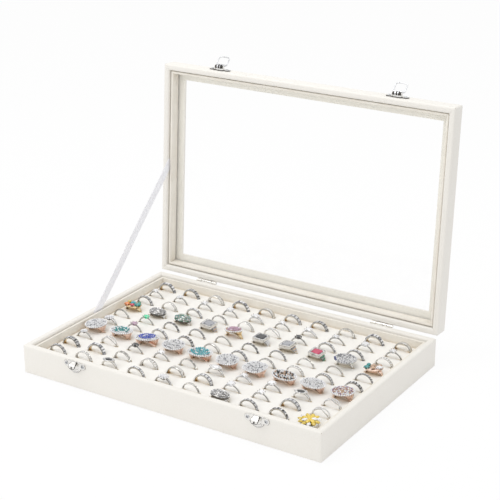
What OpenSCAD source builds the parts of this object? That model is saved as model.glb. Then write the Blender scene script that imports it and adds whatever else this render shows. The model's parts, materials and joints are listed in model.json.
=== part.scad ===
// Ring display case: a leather-covered tray with a slit foam pad, and a glazed lid that
// opens on two butt hinges, is held by a satin ribbon and shuts with two draw latches.
// Millimetres. Origin: centre of the tray's underside. X to the right, Y to the back, Z up.
// The lid is drawn shut and then turned open about the hinge line.

/* [Case] */
// Overall width, left to right
box_w = 350; // [300:5:400]
// Overall depth, front to back
box_d = 240; // [210:5:280]
// Height of the tray
tray_h = 31.5; // [28:0.5:40]
// Height of the lid
lid_h = 18.5; // [16:0.5:24]
// Gap between the tray's rim and the shut lid's rim
rim_gap = 1; // [0.6:0.1:1.6]
// How far the lid stands open, in degrees from shut
open_angle = 93.4; // [80:0.1:100]

/* [Boards and covering] */
// Thickness of the wall boards of tray and lid
wall_t = 5.4; // [4:0.1:7]
// Thickness of the leather covering
wrap_t = 0.8; // [0.6:0.1:1.1]
// How far the covering turns down inside the rim
wrap_turn = 9; // [5:0.5:10]
// How far the covering turns in under the tray
wrap_under = 12; // [9:1:16]
// Rounding of the covered edges
edge_r = 2.2; // [1.8:0.1:2.4]
// Thickness of the lining sheet under the tray
base_sheet_t = 0.6; // [0.4:0.1:1]
// How far the lining sheet stays inside the tray's outline
base_sheet_inset = 2.5; // [2:0.5:6]
// Thickness of the bottom board
base_board_t = 3; // [2:0.5:4]

/* [Lining strips] */
// Slit between wall and lining strip, where the ribbon is tucked in
slit_w = 0.9; // [0.8:0.1:1.2]
// Thickness of the lining strips
liner_t = 2.6; // [2:0.1:3.5]
// How far the lining strips end short of the rim
liner_drop = 2.8; // [1.5:0.1:4]

/* [Ring pad] */
// How far the pad's top lies below the tray's rim
pad_drop = 11; // [8:0.5:12]
// Thickness of the card under the foam pad
support_t = 1.7; // [1.5:0.1:3]
// Clearance around the pad
pad_clear = 0.4; // [0.3:0.1:1]
// Slits side by side in a row
slit_cols = 10; // [4:1:10]
// Rows of slits, front to back
slit_rows = 10; // [4:1:10]
// Distance from the pad's left and right edges to the middle of the nearest slit
slit_margin_x = 15.6; // [13:0.1:20]
// Distance from the pad's front and back edges to the nearest row
slit_margin_y = 12.8; // [11:0.1:14]
// Clearance between a slit and the ring in it, each way
slit_clear = 0.2; // [0.1:0.05:0.4]
// Least foam left between a slit and the card
slit_floor_t = 0.4; // [0.2:0.1:1]

/* [Rings] */
// Inner radius of the rings
ring_bore_r = 8.7; // [7.5:0.1:9.2]
// Thickness of the rings' bands
band_t = 1.5; // [1:0.1:1.8]
// Depth of a plain ring's centre below the pad's top; rings with heads go deeper
ring_sink = 1.2; // [0:0.1:2]
// Thickness of the plate on top of a ring's head
head_plate_t = 1; // [0.6:0.1:1.2]
// Share of a head's size that its lower part has
head_waist = 0.72; // [0.6:0.02:0.8]

/* [Lid glazing] */
// Thickness of the glass
glass_t = 2; // [1.5:0.1:3]
// Thickness of the top panel that frames the glass
panel_t = 1.9; // [1.5:0.1:3]
// Thickness of the paper lining that the glass seats on
seat_t = 0.4; // [0.3:0.1:0.8]
// Distance from the lid's outline to the glazed window
window_inset = 18.5; // [14:0.5:24]
// Clearance between the glass and the lid's walls
glass_clear = 0.8; // [0.4:0.1:1.2]

/* [Hinges] */
// Distance of each hinge's middle from the end of the case
hinge_inset = 64; // [40:1:90]
// Length of a hinge
hinge_len = 26; // [20:1:34]
// Radius of a hinge knuckle
knuckle_r = 1.5; // [1.3:0.1:1.6]
// Radius of a hinge pin
hinge_pin_r = 0.75; // [0.6:0.05:0.8]
// Thickness of a hinge leaf
leaf_t = 0.7; // [0.5:0.1:0.8]
// Height of a hinge leaf, from the pin's middle
leaf_h = 12.5; // [11:0.5:13]
// Distance of the hinge line behind the case's back
hinge_out = 0.9; // [0.8:0.1:1]
// Running clearance between a pin or rod and its hole
run_clear = 0.05; // [0.03:0.01:0.08]
// Gap between the ends of neighbouring knuckles
knuckle_gap = 0.3; // [0.2:0.05:0.5]

/* [Latches] */
// Distance of each latch's middle from the end of the case
latch_inset = 68; // [40:1:90]
// Height of the latch plate's middle above the lid's rim
latch_rise = 9.5; // [9:0.1:9.6]
// Thickness of the latch and catch plates
plate_t = 0.8; // [0.6:0.1:1]
// Width of the rolled lever
lever_w = 9.6; // [8:0.2:11]
// Outer radius of the lever's roll
roll_r = 2.6; // [2.2:0.1:2.7]
// Thickness of the lever's sheet metal
sheet_t = 0.55; // [0.4:0.05:0.6]
// Radius of the lever's pin
lever_pin_r = 0.6; // [0.5:0.05:0.7]
// Distance from the lever's pin to the wire loop's pivot
throw_r = 4; // [3.8:0.1:4.4]
// Swing of the lever from thrown back to locked, in degrees
lever_swing = 170; // [160:1:175]
// Radius of the loop's wire
wire_r = 0.6; // [0.5:0.05:0.7]
// Length of the loop from its pivot to the middle of its crossbar
loop_len = 9.8; // [9.4:0.1:10.2]
// Lean of the thrown-back loop from the lid's face, in degrees
loop_lean = 50; // [40:1:60]
// Width of the catch's tongue
tongue_w = 8.4; // [7:0.2:9]
// Inner radius of the bend of the catch's tongue
tongue_r = 1.75; // [1.4:0.05:2]
// Play of the locked loop under the tongue
loop_play = 0.25; // [0.15:0.05:0.5]

/* [Screws] */
// Radius of the screw heads
head_r = 1.8; // [1.5:0.1:2]
// Height of the screw heads
head_h = 0.8; // [0.6:0.1:1]
// Radius of the screw shanks
shank_r = 0.9; // [0.7:0.05:1]
// Length of the screw shanks
shank_len = 4.8; // [3.5:0.1:5]

/* [Ribbon stay] */
// Width of the ribbon
ribbon_w = 10; // [8:0.5:12]
// Thickness of the doubled ribbon
ribbon_t = 0.4; // [0.3:0.05:0.5]
// Where the ribbon is tucked in, from the middle of the side
ribbon_y = -4; // [-12:1:0]
// Length of ribbon tucked into the slit at each end
ribbon_tuck = 8; // [5:0.5:9]

/* [Hidden] */
$fn = 48;
// Styles of the rings from the front row to the back row, one letter a ring, left to right
ROW_STYLES = [
    "mmnmdtommD",
    "wwwwwwsswm",
    "smssmnssnm",
    "DOODODDOOD",
    "dsmmmmmmmm",
    "tstttttttt",
    "oooqoqqqDo",
    "mmmmmmsmmm",
    "ssssSsSsss",
    "wwwwwwwwww"
];
// Letter, width of the band, shape, length, width and height of the head, and how far the
// head stands above the band
STYLES = [
    ["w", 4.4, "none", 0, 0, 0, 0],
    ["m", 3.2, "none", 0, 0, 0, 0],
    ["t", 2.0, "none", 0, 0, 0, 0],
    ["s", 2.0, "round", 7.0, 7.0, 3.4, 1.8],
    ["S", 2.4, "round", 9.0, 9.0, 3.6, 2.0],
    ["n", 2.6, "leaf", 14.0, 8.0, 2.6, 1.0],
    ["d", 3.0, "round", 10.0, 10.0, 4.0, 1.6],
    ["D", 3.2, "round", 22.0, 22.0, 5.0, 2.4],
    ["o", 3.2, "oval", 19.0, 14.0, 4.4, 2.0],
    ["O", 3.2, "oval", 25.0, 18.0, 5.0, 2.4],
    ["q", 4.0, "block", 18.0, 13.0, 4.4, 1.8]
];

rim_t = wall_t + 2 * wrap_t;
base_z = base_sheet_t + wrap_t;
floor_z = base_z + base_board_t;
pad_top = tray_h - pad_drop;
pad_low = floor_z + support_t;
pad_t = pad_top - pad_low;
liner_in = rim_t + slit_w;
lining_in = liner_in + liner_t;
pad_w = box_w - 2 * (lining_in + pad_clear);
pad_d = box_d - 2 * (lining_in + pad_clear);
slit_pitch_x = (pad_w - 2 * slit_margin_x) / (slit_cols - 1);
slit_pitch_y = (pad_d - 2 * slit_margin_y) / (slit_rows - 1);
ring_r = ring_bore_r + band_t;

lid_low = tray_h + rim_gap;
lid_top = lid_low + lid_h;
panel_low = lid_top - wrap_t - panel_t;
glass_top = panel_low - seat_t;
glass_low = glass_top - glass_t;
hinge_x = box_w / 2 - hinge_inset;
hinge_y = box_d / 2 + hinge_out;
hinge_z = tray_h + rim_gap / 2;
// Gap between a leaf's edge and the other leaf's knuckles
leaf_clear = 0.3;
leaf_screw_x = hinge_len * 0.3;
leaf_screw_z = leaf_h * 0.62;
recess_w = 0.4;
recess_reach = head_r * 0.6;
recess_deep = head_h * 0.55;

latch_x = box_w / 2 - latch_inset;
latch_z = lid_low + latch_rise;
latch_ear_x = 9.3;
latch_ear_r = 3.4;
// Half the height of the latch plate's bar and of its middle part
latch_bar = latch_ear_r * 0.76;
latch_half = latch_ear_r * 1.3;
roll_clear = 0.3;
lug_t = 0.6;
lug_r = 1.4;
lug_x = lever_w / 2 + 0.2;
lever_y = -box_d / 2 - plate_t - roll_r - roll_clear;
lever_z = latch_z - 1.5;
lever_lean = (180 - lever_swing) / 2 + 10;
loop_y = lever_y - throw_r * sin(lever_lean);
loop_z = lever_z + throw_r * cos(lever_lean);
loop_half = lever_w / 2 + 1.7;
loop_bend = 2;
loop_end = 4.2;
roll_turns = 1.35;
tube_r = lever_pin_r + 0.7;
eye_r = wire_r + 0.6;
locked_y = lever_y - throw_r * sin(lever_lean + lever_swing);
locked_z = lever_z + throw_r * cos(lever_lean + lever_swing);
bar_z = locked_z - loop_len;
catch_z = tray_h - 5;
catch_ear_x = 10;
catch_ear_r = 3.5;
// How far the bar between the catch's ears reaches below and above their middles
catch_bar = [catch_ear_r * 0.7, catch_ear_r * 0.6];
belly_r = 8.6;
belly_top = 4;
tongue_tip = 2.2;
// Angle that the tongue's tip bends through
tongue_bend = 75;
// Where the tongue's root starts and ends, above its bend
tongue_root = [0.8, 1.9];
tongue_mid = 0.4;
tongue_reach = 6;

// ---------- helpers ----------

// Points of an arc about (x, y) from angle a to angle b, in n steps
function arc(x, y, r, a, b, n = 6) =
    [for (i = [0:n]) [x + r * cos(a + (b - a) * i / n), y + r * sin(a + (b - a) * i / n)]];

// Turns what is drawn for the shut lid to where the open lid holds it
module on_lid() {
    translate([0, hinge_y, hinge_z]) rotate([-open_angle, 0, 0])
        translate([0, -hinge_y, -hinge_z]) children();
}

// Where the open lid holds a point (y, z) of the shut lid
function opened(y, z) = [
    hinge_y + (y - hinge_y) * cos(open_angle) + (z - hinge_z) * sin(open_angle),
    hinge_z - (y - hinge_y) * sin(open_angle) + (z - hinge_z) * cos(open_angle)
];

// One mitred side of a frame: the outline is drawn as (inward from the front, height)
module side_run(len, across, reach) {
    intersection() {
        translate([-len / 2, -across / 2, 0]) rotate([90, 0, 90]) linear_extrude(len) children();
        linear_extrude(3 * (tray_h + lid_h), center = true) polygon([
            [-len / 2, -across / 2], [len / 2, -across / 2],
            [len / 2 - reach, -across / 2 + reach], [-len / 2 + reach, -across / 2 + reach]
        ]);
    }
}

// A side of the case: 0 front, 1 right, 2 back, 3 left, inset from the case's outline
module side_of(side, inset, reach) {
    w = box_w - 2 * inset;
    d = box_d - 2 * inset;
    rotate([0, 0, 90 * side])
        side_run(side % 2 == 0 ? w : d, side % 2 == 0 ? d : w, reach) children();
}

// All four sides as one frame
module frame_of(inset, reach) {
    for (side = [0:3]) side_of(side, inset, reach) children();
}

// A straight board on one side, from z0 to z1
module board(side, inset, t, z0, z1) {
    side_of(side, inset, t) translate([0, z0]) square([t, z1 - z0]);
}

// A flat plate with round corners, standing on z = 0
module round_plate(w, d, h, r) {
    translate([-w / 2 + r, -d / 2, 0]) cube([w - 2 * r, d, h]);
    translate([-w / 2, -d / 2 + r, 0]) cube([w, d - 2 * r, h]);
    for (x = [-1, 1], y = [-1, 1])
        translate([x * (w / 2 - r), y * (d / 2 - r), 0]) cylinder(h = h, r = r);
}

// A rectangular ring of sheet, from z0 to z1
module flat_frame(inset, window, z0, z1) {
    translate([0, 0, z0]) difference() {
        translate([inset - box_w / 2, inset - box_d / 2, 0])
            cube([box_w - 2 * inset, box_d - 2 * inset, z1 - z0]);
        translate([window - box_w / 2, window - box_d / 2, -1])
            cube([box_w - 2 * window, box_d - 2 * window, z1 - z0 + 2]);
    }
}

// A pan head screw with a cross recess: head outwards along -Y, seated at y = 0
module screw() {
    rotate([90, 0, 0]) difference() {
        union() {
            cylinder(h = head_h, r = head_r);
            translate([0, 0, -shank_len]) cylinder(h = shank_len + head_h / 2, r = shank_r);
        }
        for (a = [0, 90]) rotate([0, 0, a])
            translate([-recess_reach, -recess_w / 2, head_h - recess_deep])
                cube([2 * recess_reach, recess_w, head_h]);
    }
}

// The hole that a screw passes through, seen from the same side
module screw_hole() {
    rotate([-90, 0, 0]) translate([0, 0, -plate_t])
        cylinder(h = shank_len + plate_t + 0.2, r = shank_r + run_clear);
}

// Places on the front of the tray, the front of the lid and the back of either
module catch_holes() {
    for (x = [-1, 1], e = [-1, 1])
        translate([x * latch_x + e * catch_ear_x, -box_d / 2 - plate_t, catch_z]) children();
}
module latch_holes() {
    for (x = [-1, 1], e = [-1, 1])
        translate([x * latch_x + e * latch_ear_x, -box_d / 2 - plate_t, latch_z]) children();
}
module leaf_holes(up) {
    for (x = [-1, 1], e = [-1, 1])
        translate([x * hinge_x + e * leaf_screw_x, box_d / 2 + leaf_t, hinge_z + up * leaf_screw_z])
            rotate([0, 0, 180]) children();
}

// ---------- tray ----------

module base_sheet() {
    color("#E9E4DA")
        translate([base_sheet_inset - box_w / 2, base_sheet_inset - box_d / 2, 0])
            cube([box_w - 2 * base_sheet_inset, box_d - 2 * base_sheet_inset, base_sheet_t]);
}

module base_board() {
    inset = wrap_t + wall_t;
    color("#B9A98C") translate([inset - box_w / 2, inset - box_d / 2, base_z])
        cube([box_w - 2 * inset, box_d - 2 * inset, base_board_t]);
}

module tray_wall(side) {
    color("#B9A98C") difference() {
        board(side, wrap_t, wall_t, base_z, tray_h - wrap_t);
        if (side == 0) catch_holes() screw_hole();
        if (side == 2) leaf_holes(-1) screw_hole();
    }
}

// Outline of the tray's covering: under the base, up the outside, over the rim and down inside
function tray_wrap_outline() = concat(
    [[wrap_under, base_sheet_t]],
    arc(wrap_t, base_sheet_t + wrap_t, wrap_t, -90, -180, 4),
    arc(edge_r, tray_h - edge_r, edge_r, 180, 90),
    arc(rim_t - edge_r, tray_h - edge_r, edge_r, 90, 0),
    [
        [rim_t, tray_h - wrap_turn], [rim_t - wrap_t, tray_h - wrap_turn],
        [rim_t - wrap_t, tray_h - wrap_t], [wrap_t, tray_h - wrap_t],
        [wrap_t, base_z], [wrap_under, base_z]
    ]
);

module tray_wrap() {
    color("#F1EEE9") difference() {
        intersection() {
            frame_of(0, wrap_under + 1) polygon(tray_wrap_outline());
            round_plate(box_w, box_d, tray_h, edge_r);
        }
        catch_holes() screw_hole();
        leaf_holes(-1) screw_hole();
    }
}

module tray_liner(side) {
    color("#E6DFD3") board(side, liner_in, liner_t, floor_z, tray_h - liner_drop);
}

module pad_support() {
    color("#D8CDB8") translate([-pad_w / 2, -pad_d / 2, floor_z]) cube([pad_w, pad_d, support_t]);
}

// ---------- rings and the pad that holds them ----------

function style_of(letter) = STYLES[search(letter, STYLES)[0]];
function ring_x(col) = (col - (slit_cols - 1) / 2) * slit_pitch_x;
function ring_y(row) = (row - (slit_rows - 1) / 2) * slit_pitch_y;
function style_at(row, col) =
    style_of(ROW_STYLES[row % len(ROW_STYLES)][col % len(ROW_STYLES[0])]);
// Height of a ring's centre: heads are pushed down until they are level with the plain rings,
// and in a thin pad every ring stands on the foam that is left over the card
function ring_z(style) = max(
    pad_top - ring_sink - style[6],
    pad_low + slit_floor_t + slit_clear + ring_r
);

module ring_pad() {
    long = 2 * (ring_r + slit_clear);
    color("#F4F1EA") difference() {
        translate([-pad_w / 2, -pad_d / 2, pad_low]) cube([pad_w, pad_d, pad_t]);
        for (row = [0:slit_rows - 1], col = [0:slit_cols - 1]) {
            style = style_at(row, col);
            wide = style[1] + 2 * slit_clear;
            low = ring_z(style) - ring_r - slit_clear;
            translate([ring_x(col) - long / 2, ring_y(row) - wide / 2, low])
                cube([long, wide, pad_t]);
        }
    }
}

// One layer of a ring's head, from z = 0
module head_layer(shape, l, w, h) {
    if (shape == "round") cylinder(h = h, r = l / 2);
    if (shape == "block") translate([-l / 2, -w / 2, 0]) cube([l, w, h]);
    if (shape == "oval") {
        for (x = [-1, 1]) translate([x * (l - w) / 2, 0, 0]) cylinder(h = h, r = w / 2);
        translate([-(l - w) / 2, -w / 2, 0]) cube([l - w, w, h]);
    }
    if (shape == "leaf") {
        r = (l * l + w * w) / (4 * w);
        intersection_for (y = [-1, 1]) translate([0, y * (r - w / 2), 0]) cylinder(h = h, r = r);
    }
}

// A head from z = 0: a narrower part that stands on the band, with a plate on it
module ring_head(shape, l, w, h) {
    head_layer(shape, l * head_waist, w * head_waist, h - head_plate_t / 2);
    translate([0, 0, h - head_plate_t]) head_layer(shape, l, w, head_plate_t);
}

module ring(style) {
    band_w = style[1];
    rotate([90, 0, 0]) rotate_extrude()
        translate([ring_bore_r, -band_w / 2]) square([band_t, band_w]);
    if (style[2] != "none") difference() {
        translate([0, 0, ring_r + style[6] - style[5]])
            ring_head(style[2], style[3], style[4], style[5]);
        rotate([90, 0, 0]) cylinder(h = 2 * style[4], r = ring_bore_r, center = true);
    }
}

module rings_row(row) {
    color("#C9C7C4") for (col = [0:slit_cols - 1])
        translate([ring_x(col), ring_y(row), ring_z(style_at(row, col))]) ring(style_at(row, col));
}

// ---------- ribbon stay ----------

module stay_ribbon() {
    low = [ribbon_y, tray_h];
    high = opened(ribbon_y, lid_low);
    run = norm(high - low);
    color("#F4F5F8") translate([liner_in - slit_w / 2 - box_w / 2 - ribbon_t / 2, low[0], low[1]])
        rotate([atan2(high[1] - low[1], high[0] - low[0]), 0, 0])
            translate([0, -ribbon_tuck, -ribbon_w / 2])
                cube([ribbon_t, run + 2 * ribbon_tuck, ribbon_w]);
}

// ---------- catches on the tray's front ----------

// Outline of the catch's tongue as (outwards from the plate, height above the ears): a strap
// that leans out of the plate and bends down over the locked loop
function tongue_outline() = let (
    out = -locked_y - box_d / 2 - plate_t,
    up = bar_z + wire_r + loop_play - tongue_r - catch_z,
    outer = tongue_r + plate_t
) concat(
    [[0, up + outer + tongue_root[1]]],
    arc(out, up, outer, tongue_bend, 0, 7),
    [[out + outer, up - tongue_tip], [out + tongue_r, up - tongue_tip]],
    arc(out, up, tongue_r, 0, tongue_bend, 7),
    [[0, up + outer + tongue_root[0]]]
);

module catch_plate(x) {
    color("#CFCFCD") translate([x, -box_d / 2, catch_z]) {
        difference() {
            rotate([90, 0, 0]) {
                for (e = [-1, 1])
                    translate([e * catch_ear_x, 0, 0]) cylinder(h = plate_t, r = catch_ear_r);
                intersection() {
                    cylinder(h = plate_t, r = belly_r);
                    translate([-belly_r, -belly_r, 0]) cube([2 * belly_r, belly_r + belly_top, plate_t]);
                }
                translate([-catch_ear_x, -catch_bar[0], 0])
                    cube([2 * catch_ear_x, catch_bar[0] + catch_bar[1], plate_t]);
            }
            for (e = [-1, 1]) translate([e * catch_ear_x, -plate_t, 0]) screw_hole();
        }
        intersection() {
            translate([-tongue_w / 2, -plate_t, 0]) rotate([90, 0, 90])
                linear_extrude(tongue_w) polygon([for (p = tongue_outline()) [-p[0], p[1]]]);
            translate([0, -plate_t, tongue_mid]) rotate([90, 0, 0])
                cylinder(h = 2 * tongue_reach, r = tongue_w / 2, center = true);
        }
    }
}

module catch_screws() {
    color("#BDBDBB") catch_holes() screw();
}

// ---------- hinges ----------

// A knuckle from x0 to x1 on the hinge line, joined to its leaf below (-1) or above (1)
module knuckle(x0, x1, up) {
    translate([x0, hinge_y, hinge_z]) rotate([0, 90, 0]) cylinder(h = x1 - x0, r = knuckle_r);
    foot = knuckle_r + 2 * leaf_clear;
    translate([x0, box_d / 2, hinge_z + (up > 0 ? 0 : -foot)]) cube([x1 - x0, leaf_t, foot]);
}

// A leaf with its knuckles: the outer two are the lower leaf's, the middle one the upper's
module hinge_leaf(x, up) {
    h = hinge_len / 2;
    q = hinge_len / 4;
    off = knuckle_r + leaf_clear;
    color("#CFCFCD") translate([x, 0, 0]) difference() {
        union() {
            translate([-h, box_d / 2, up > 0 ? hinge_z + off : hinge_z - leaf_h])
                cube([hinge_len, leaf_t, leaf_h - off]);
            if (up > 0) knuckle(-q + knuckle_gap / 2, q - knuckle_gap / 2, up);
            else {
                knuckle(-h, -q - knuckle_gap / 2, up);
                knuckle(q + knuckle_gap / 2, h, up);
            }
        }
        translate([-hinge_len, hinge_y, hinge_z]) rotate([0, 90, 0])
            cylinder(h = 2 * hinge_len, r = hinge_pin_r + run_clear);
        for (e = [-1, 1])
            translate([e * leaf_screw_x, box_d / 2 + leaf_t, hinge_z + up * leaf_screw_z])
                rotate([0, 0, 180]) screw_hole();
    }
}

module hinge_pins() {
    color("#BDBDBB") for (x = [-1, 1])
        translate([x * hinge_x - hinge_len / 2, hinge_y, hinge_z]) rotate([0, 90, 0])
            cylinder(h = hinge_len, r = hinge_pin_r);
}

module hinge_screws(up) {
    color("#BDBDBB") leaf_holes(up) screw();
}

module hinge_leaf_upper(x) {
    on_lid() hinge_leaf(x, 1);
}

module hinge_screws_upper() {
    on_lid() hinge_screws(1);
}

// ---------- lid ----------

module lid_wall(side) {
    color("#B9A98C") on_lid() difference() {
        board(side, wrap_t, wall_t, lid_low + wrap_t, panel_low);
        if (side == 0) latch_holes() screw_hole();
        if (side == 2) leaf_holes(1) screw_hole();
    }
}

module lid_top_panel() {
    color("#B9A98C") on_lid()
        flat_frame(wrap_t, window_inset - wrap_t, panel_low, lid_top - wrap_t);
}

// Outline of the lid's covering: inside the rim, round the rim, up the outside, over the
// top and round the edge of the window
function lid_wrap_outline() = concat(
    [[rim_t - wrap_t, lid_low + wrap_turn], [rim_t, lid_low + wrap_turn]],
    arc(rim_t - edge_r, lid_low + edge_r, edge_r, 0, -90),
    arc(edge_r, lid_low + edge_r, edge_r, 270, 180),
    arc(edge_r, lid_top - edge_r, edge_r, 180, 90),
    arc(window_inset - wrap_t, lid_top - wrap_t, wrap_t, 90, 0, 4),
    [
        [window_inset, panel_low], [window_inset - wrap_t, panel_low],
        [window_inset - wrap_t, lid_top - wrap_t], [wrap_t, lid_top - wrap_t],
        [wrap_t, lid_low + wrap_t], [rim_t - wrap_t, lid_low + wrap_t]
    ]
);

module lid_wrap() {
    color("#F1EEE9") on_lid() difference() {
        intersection() {
            frame_of(0, window_inset + 1) polygon(lid_wrap_outline());
            translate([0, 0, lid_low]) round_plate(box_w, box_d, lid_h, edge_r);
        }
        latch_holes() screw_hole();
        leaf_holes(1) screw_hole();
    }
}

module glass_seat() {
    color("#E6DFD3") on_lid() flat_frame(wrap_t + wall_t, window_inset, glass_top, panel_low);
}

module lid_glass() {
    inset = wrap_t + wall_t + glass_clear;
    color("#CFE3DF", 0.3) on_lid() translate([inset - box_w / 2, inset - box_d / 2, glass_low])
        cube([box_w - 2 * inset, box_d - 2 * inset, glass_t]);
}

module lid_liner(side) {
    color("#D9D1C4") on_lid() board(side, liner_in, liner_t, lid_low + liner_drop, glass_low);
}

// ---------- latches on the lid's front ----------

module latch_plate(x) {
    out = lever_y + box_d / 2;
    mid = lug_x + lug_t;
    color("#CFCFCD") on_lid() difference() {
        translate([x, -box_d / 2, latch_z]) {
            rotate([90, 0, 0]) {
                for (e = [-1, 1])
                    translate([e * latch_ear_x, 0, 0]) cylinder(h = plate_t, r = latch_ear_r);
                translate([-latch_ear_x, -latch_bar, 0])
                    cube([2 * latch_ear_x, 2 * latch_bar, plate_t]);
                translate([-mid, -latch_half, 0]) cube([2 * mid, 2 * latch_half, plate_t]);
            }
            for (s = [-1, 1])
                translate([s * (lug_x + lug_t / 2) - lug_t / 2, out, lever_z - latch_z]) {
                    translate([0, 0, -lug_r]) cube([lug_t, -out, 2 * lug_r]);
                    rotate([0, 90, 0]) cylinder(h = lug_t, r = lug_r);
                }
        }
        for (e = [-1, 1])
            translate([x + e * latch_ear_x, -box_d / 2 - plate_t, latch_z]) screw_hole();
        translate([x - 2 * lug_x, lever_y, lever_z]) rotate([0, 90, 0])
            cylinder(h = 4 * lug_x, r = lever_pin_r + run_clear);
    }
}

module latch_screws() {
    color("#BDBDBB") on_lid() latch_holes() screw();
}

module lever_pins() {
    half = lug_x + lug_t + 0.1;
    color("#BDBDBB") on_lid() for (x = [-1, 1])
        translate([x * latch_x - half, lever_y, lever_z]) rotate([0, 90, 0])
            cylinder(h = 2 * half, r = lever_pin_r);
}

// Outline of the lever's rolled sheet: it winds in from the outside to the pin's tube
function roll_outline(n) = let (
    radius = [for (i = [0:n]) roll_r - (roll_r - tube_r) * i / n],
    angle = [for (i = [0:n]) 100 + 360 * roll_turns * i / n]
) concat(
    [for (i = [0:n]) radius[i] * [cos(angle[i]), sin(angle[i])]],
    [for (i = [n:-1:0]) (radius[i] - sheet_t) * [cos(angle[i]), sin(angle[i])]]
);

module latch_lever(x) {
    color("#CFCFCD") on_lid() translate([x - lever_w / 2, lever_y, lever_z]) difference() {
        union() {
            rotate([90, 0, 90]) linear_extrude(lever_w) polygon(roll_outline(34));
            rotate([0, 90, 0]) cylinder(h = lever_w, r = tube_r);
            rotate([lever_lean, 0, 0]) {
                translate([0, -sheet_t / 2, roll_r - sheet_t]) cube([lever_w, sheet_t, throw_r - roll_r]);
                translate([0, 0, throw_r]) rotate([0, 90, 0]) cylinder(h = lever_w, r = eye_r);
            }
        }
        translate([-1, 0, 0]) rotate([0, 90, 0])
            cylinder(h = lever_w + 2, r = lever_pin_r + run_clear);
        rotate([lever_lean, 0, 0]) translate([-1, 0, throw_r]) rotate([0, 90, 0])
            cylinder(h = lever_w + 2, r = wire_r + run_clear);
    }
}

// The wire loop: two legs, a crossbar with round corners, and ends turned in to the eye
module latch_loop(x) {
    color("#CFCFCD") on_lid() translate([x, loop_y, loop_z]) rotate([loop_lean, 0, 0]) {
        for (s = [-1, 1]) {
            translate([s * loop_half, 0, 0]) cylinder(h = loop_len - loop_bend, r = wire_r);
            translate([s * loop_half, 0, 0]) sphere(r = wire_r);
            translate([s > 0 ? loop_half - loop_end : -loop_half, 0, 0]) rotate([0, 90, 0])
                cylinder(h = loop_end, r = wire_r);
            translate([s * (loop_half - loop_bend), 0, loop_len - loop_bend])
                rotate([90, s > 0 ? 0 : -90, 0]) rotate_extrude(angle = 90)
                    translate([loop_bend, 0]) circle(r = wire_r);
        }
        translate([-loop_half + loop_bend, 0, loop_len]) rotate([0, 90, 0])
            cylinder(h = 2 * (loop_half - loop_bend), r = wire_r);
    }
}

// ---------- the case ----------

base_sheet();
base_board();
tray_wall(0);  // tray_front_wall
tray_wall(1);  // tray_right_wall
tray_wall(2);  // tray_back_wall
tray_wall(3);  // tray_left_wall
tray_wrap();
tray_liner(0);  // tray_front_liner
tray_liner(1);  // tray_right_liner
tray_liner(2);  // tray_back_liner
tray_liner(3);  // tray_left_liner
pad_support();
ring_pad();
rings_row(0);  // rings_row_01
rings_row(1);  // rings_row_02
rings_row(2);  // rings_row_03
rings_row(3);  // rings_row_04
rings_row(4);  // rings_row_05
rings_row(5);  // rings_row_06
rings_row(6);  // rings_row_07
rings_row(7);  // rings_row_08
rings_row(8);  // rings_row_09
rings_row(9);  // rings_row_10
stay_ribbon();
catch_plate(-latch_x);  // catch_plate_left
catch_plate(latch_x);  // catch_plate_right
catch_screws();
hinge_leaf(-hinge_x, -1);  // hinge_leaf_lower_left
hinge_leaf(hinge_x, -1);  // hinge_leaf_lower_right
hinge_pins();
hinge_screws(-1);  // hinge_screws_lower
lid_wall(0);  // lid_front_wall
lid_wall(1);  // lid_right_wall
lid_wall(2);  // lid_back_wall
lid_wall(3);  // lid_left_wall
lid_top_panel();
lid_wrap();
glass_seat();
lid_glass();
lid_liner(0);  // lid_front_liner
lid_liner(1);  // lid_right_liner
lid_liner(2);  // lid_back_liner
lid_liner(3);  // lid_left_liner
hinge_leaf_upper(-hinge_x);  // hinge_leaf_upper_left
hinge_leaf_upper(hinge_x);  // hinge_leaf_upper_right
hinge_screws_upper();
latch_plate(-latch_x);  // latch_plate_left
latch_plate(latch_x);  // latch_plate_right
latch_screws();
lever_pins();
latch_lever(-latch_x);  // latch_lever_left
latch_lever(latch_x);  // latch_lever_right
latch_loop(-latch_x);  // latch_loop_left
latch_loop(latch_x);  // latch_loop_right
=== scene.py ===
"""Looks of the ring display case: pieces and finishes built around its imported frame.

The case is a leather-covered tray with a slit foam pad full of rings, and a glazed lid on
two butt hinges that a satin ribbon holds open and two draw latches lock. Shapes are worked
out in millimetres, for the shut case, and the lid's pieces are then turned open with it.
"""

from __future__ import annotations

import json
import logging
import math
import random
from dataclasses import dataclass, field
from enum import Enum, IntEnum
from typing import Callable, Iterable, Sequence

import bmesh
import bpy
import numpy as np
from bpy.types import Material, Node, NodeSocket, NodeTree, Object, Scene
from mathutils import Matrix, Vector, noise


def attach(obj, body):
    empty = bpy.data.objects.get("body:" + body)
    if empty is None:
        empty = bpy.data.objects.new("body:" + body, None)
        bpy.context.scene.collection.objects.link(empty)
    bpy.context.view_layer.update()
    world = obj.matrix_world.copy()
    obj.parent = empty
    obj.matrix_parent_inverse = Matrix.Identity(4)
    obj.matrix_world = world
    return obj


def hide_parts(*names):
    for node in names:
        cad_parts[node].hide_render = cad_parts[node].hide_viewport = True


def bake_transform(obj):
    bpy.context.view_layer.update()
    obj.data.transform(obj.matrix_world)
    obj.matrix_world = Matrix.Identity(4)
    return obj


LOG = logging.getLogger("ring_case")
MM = 0.001

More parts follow.
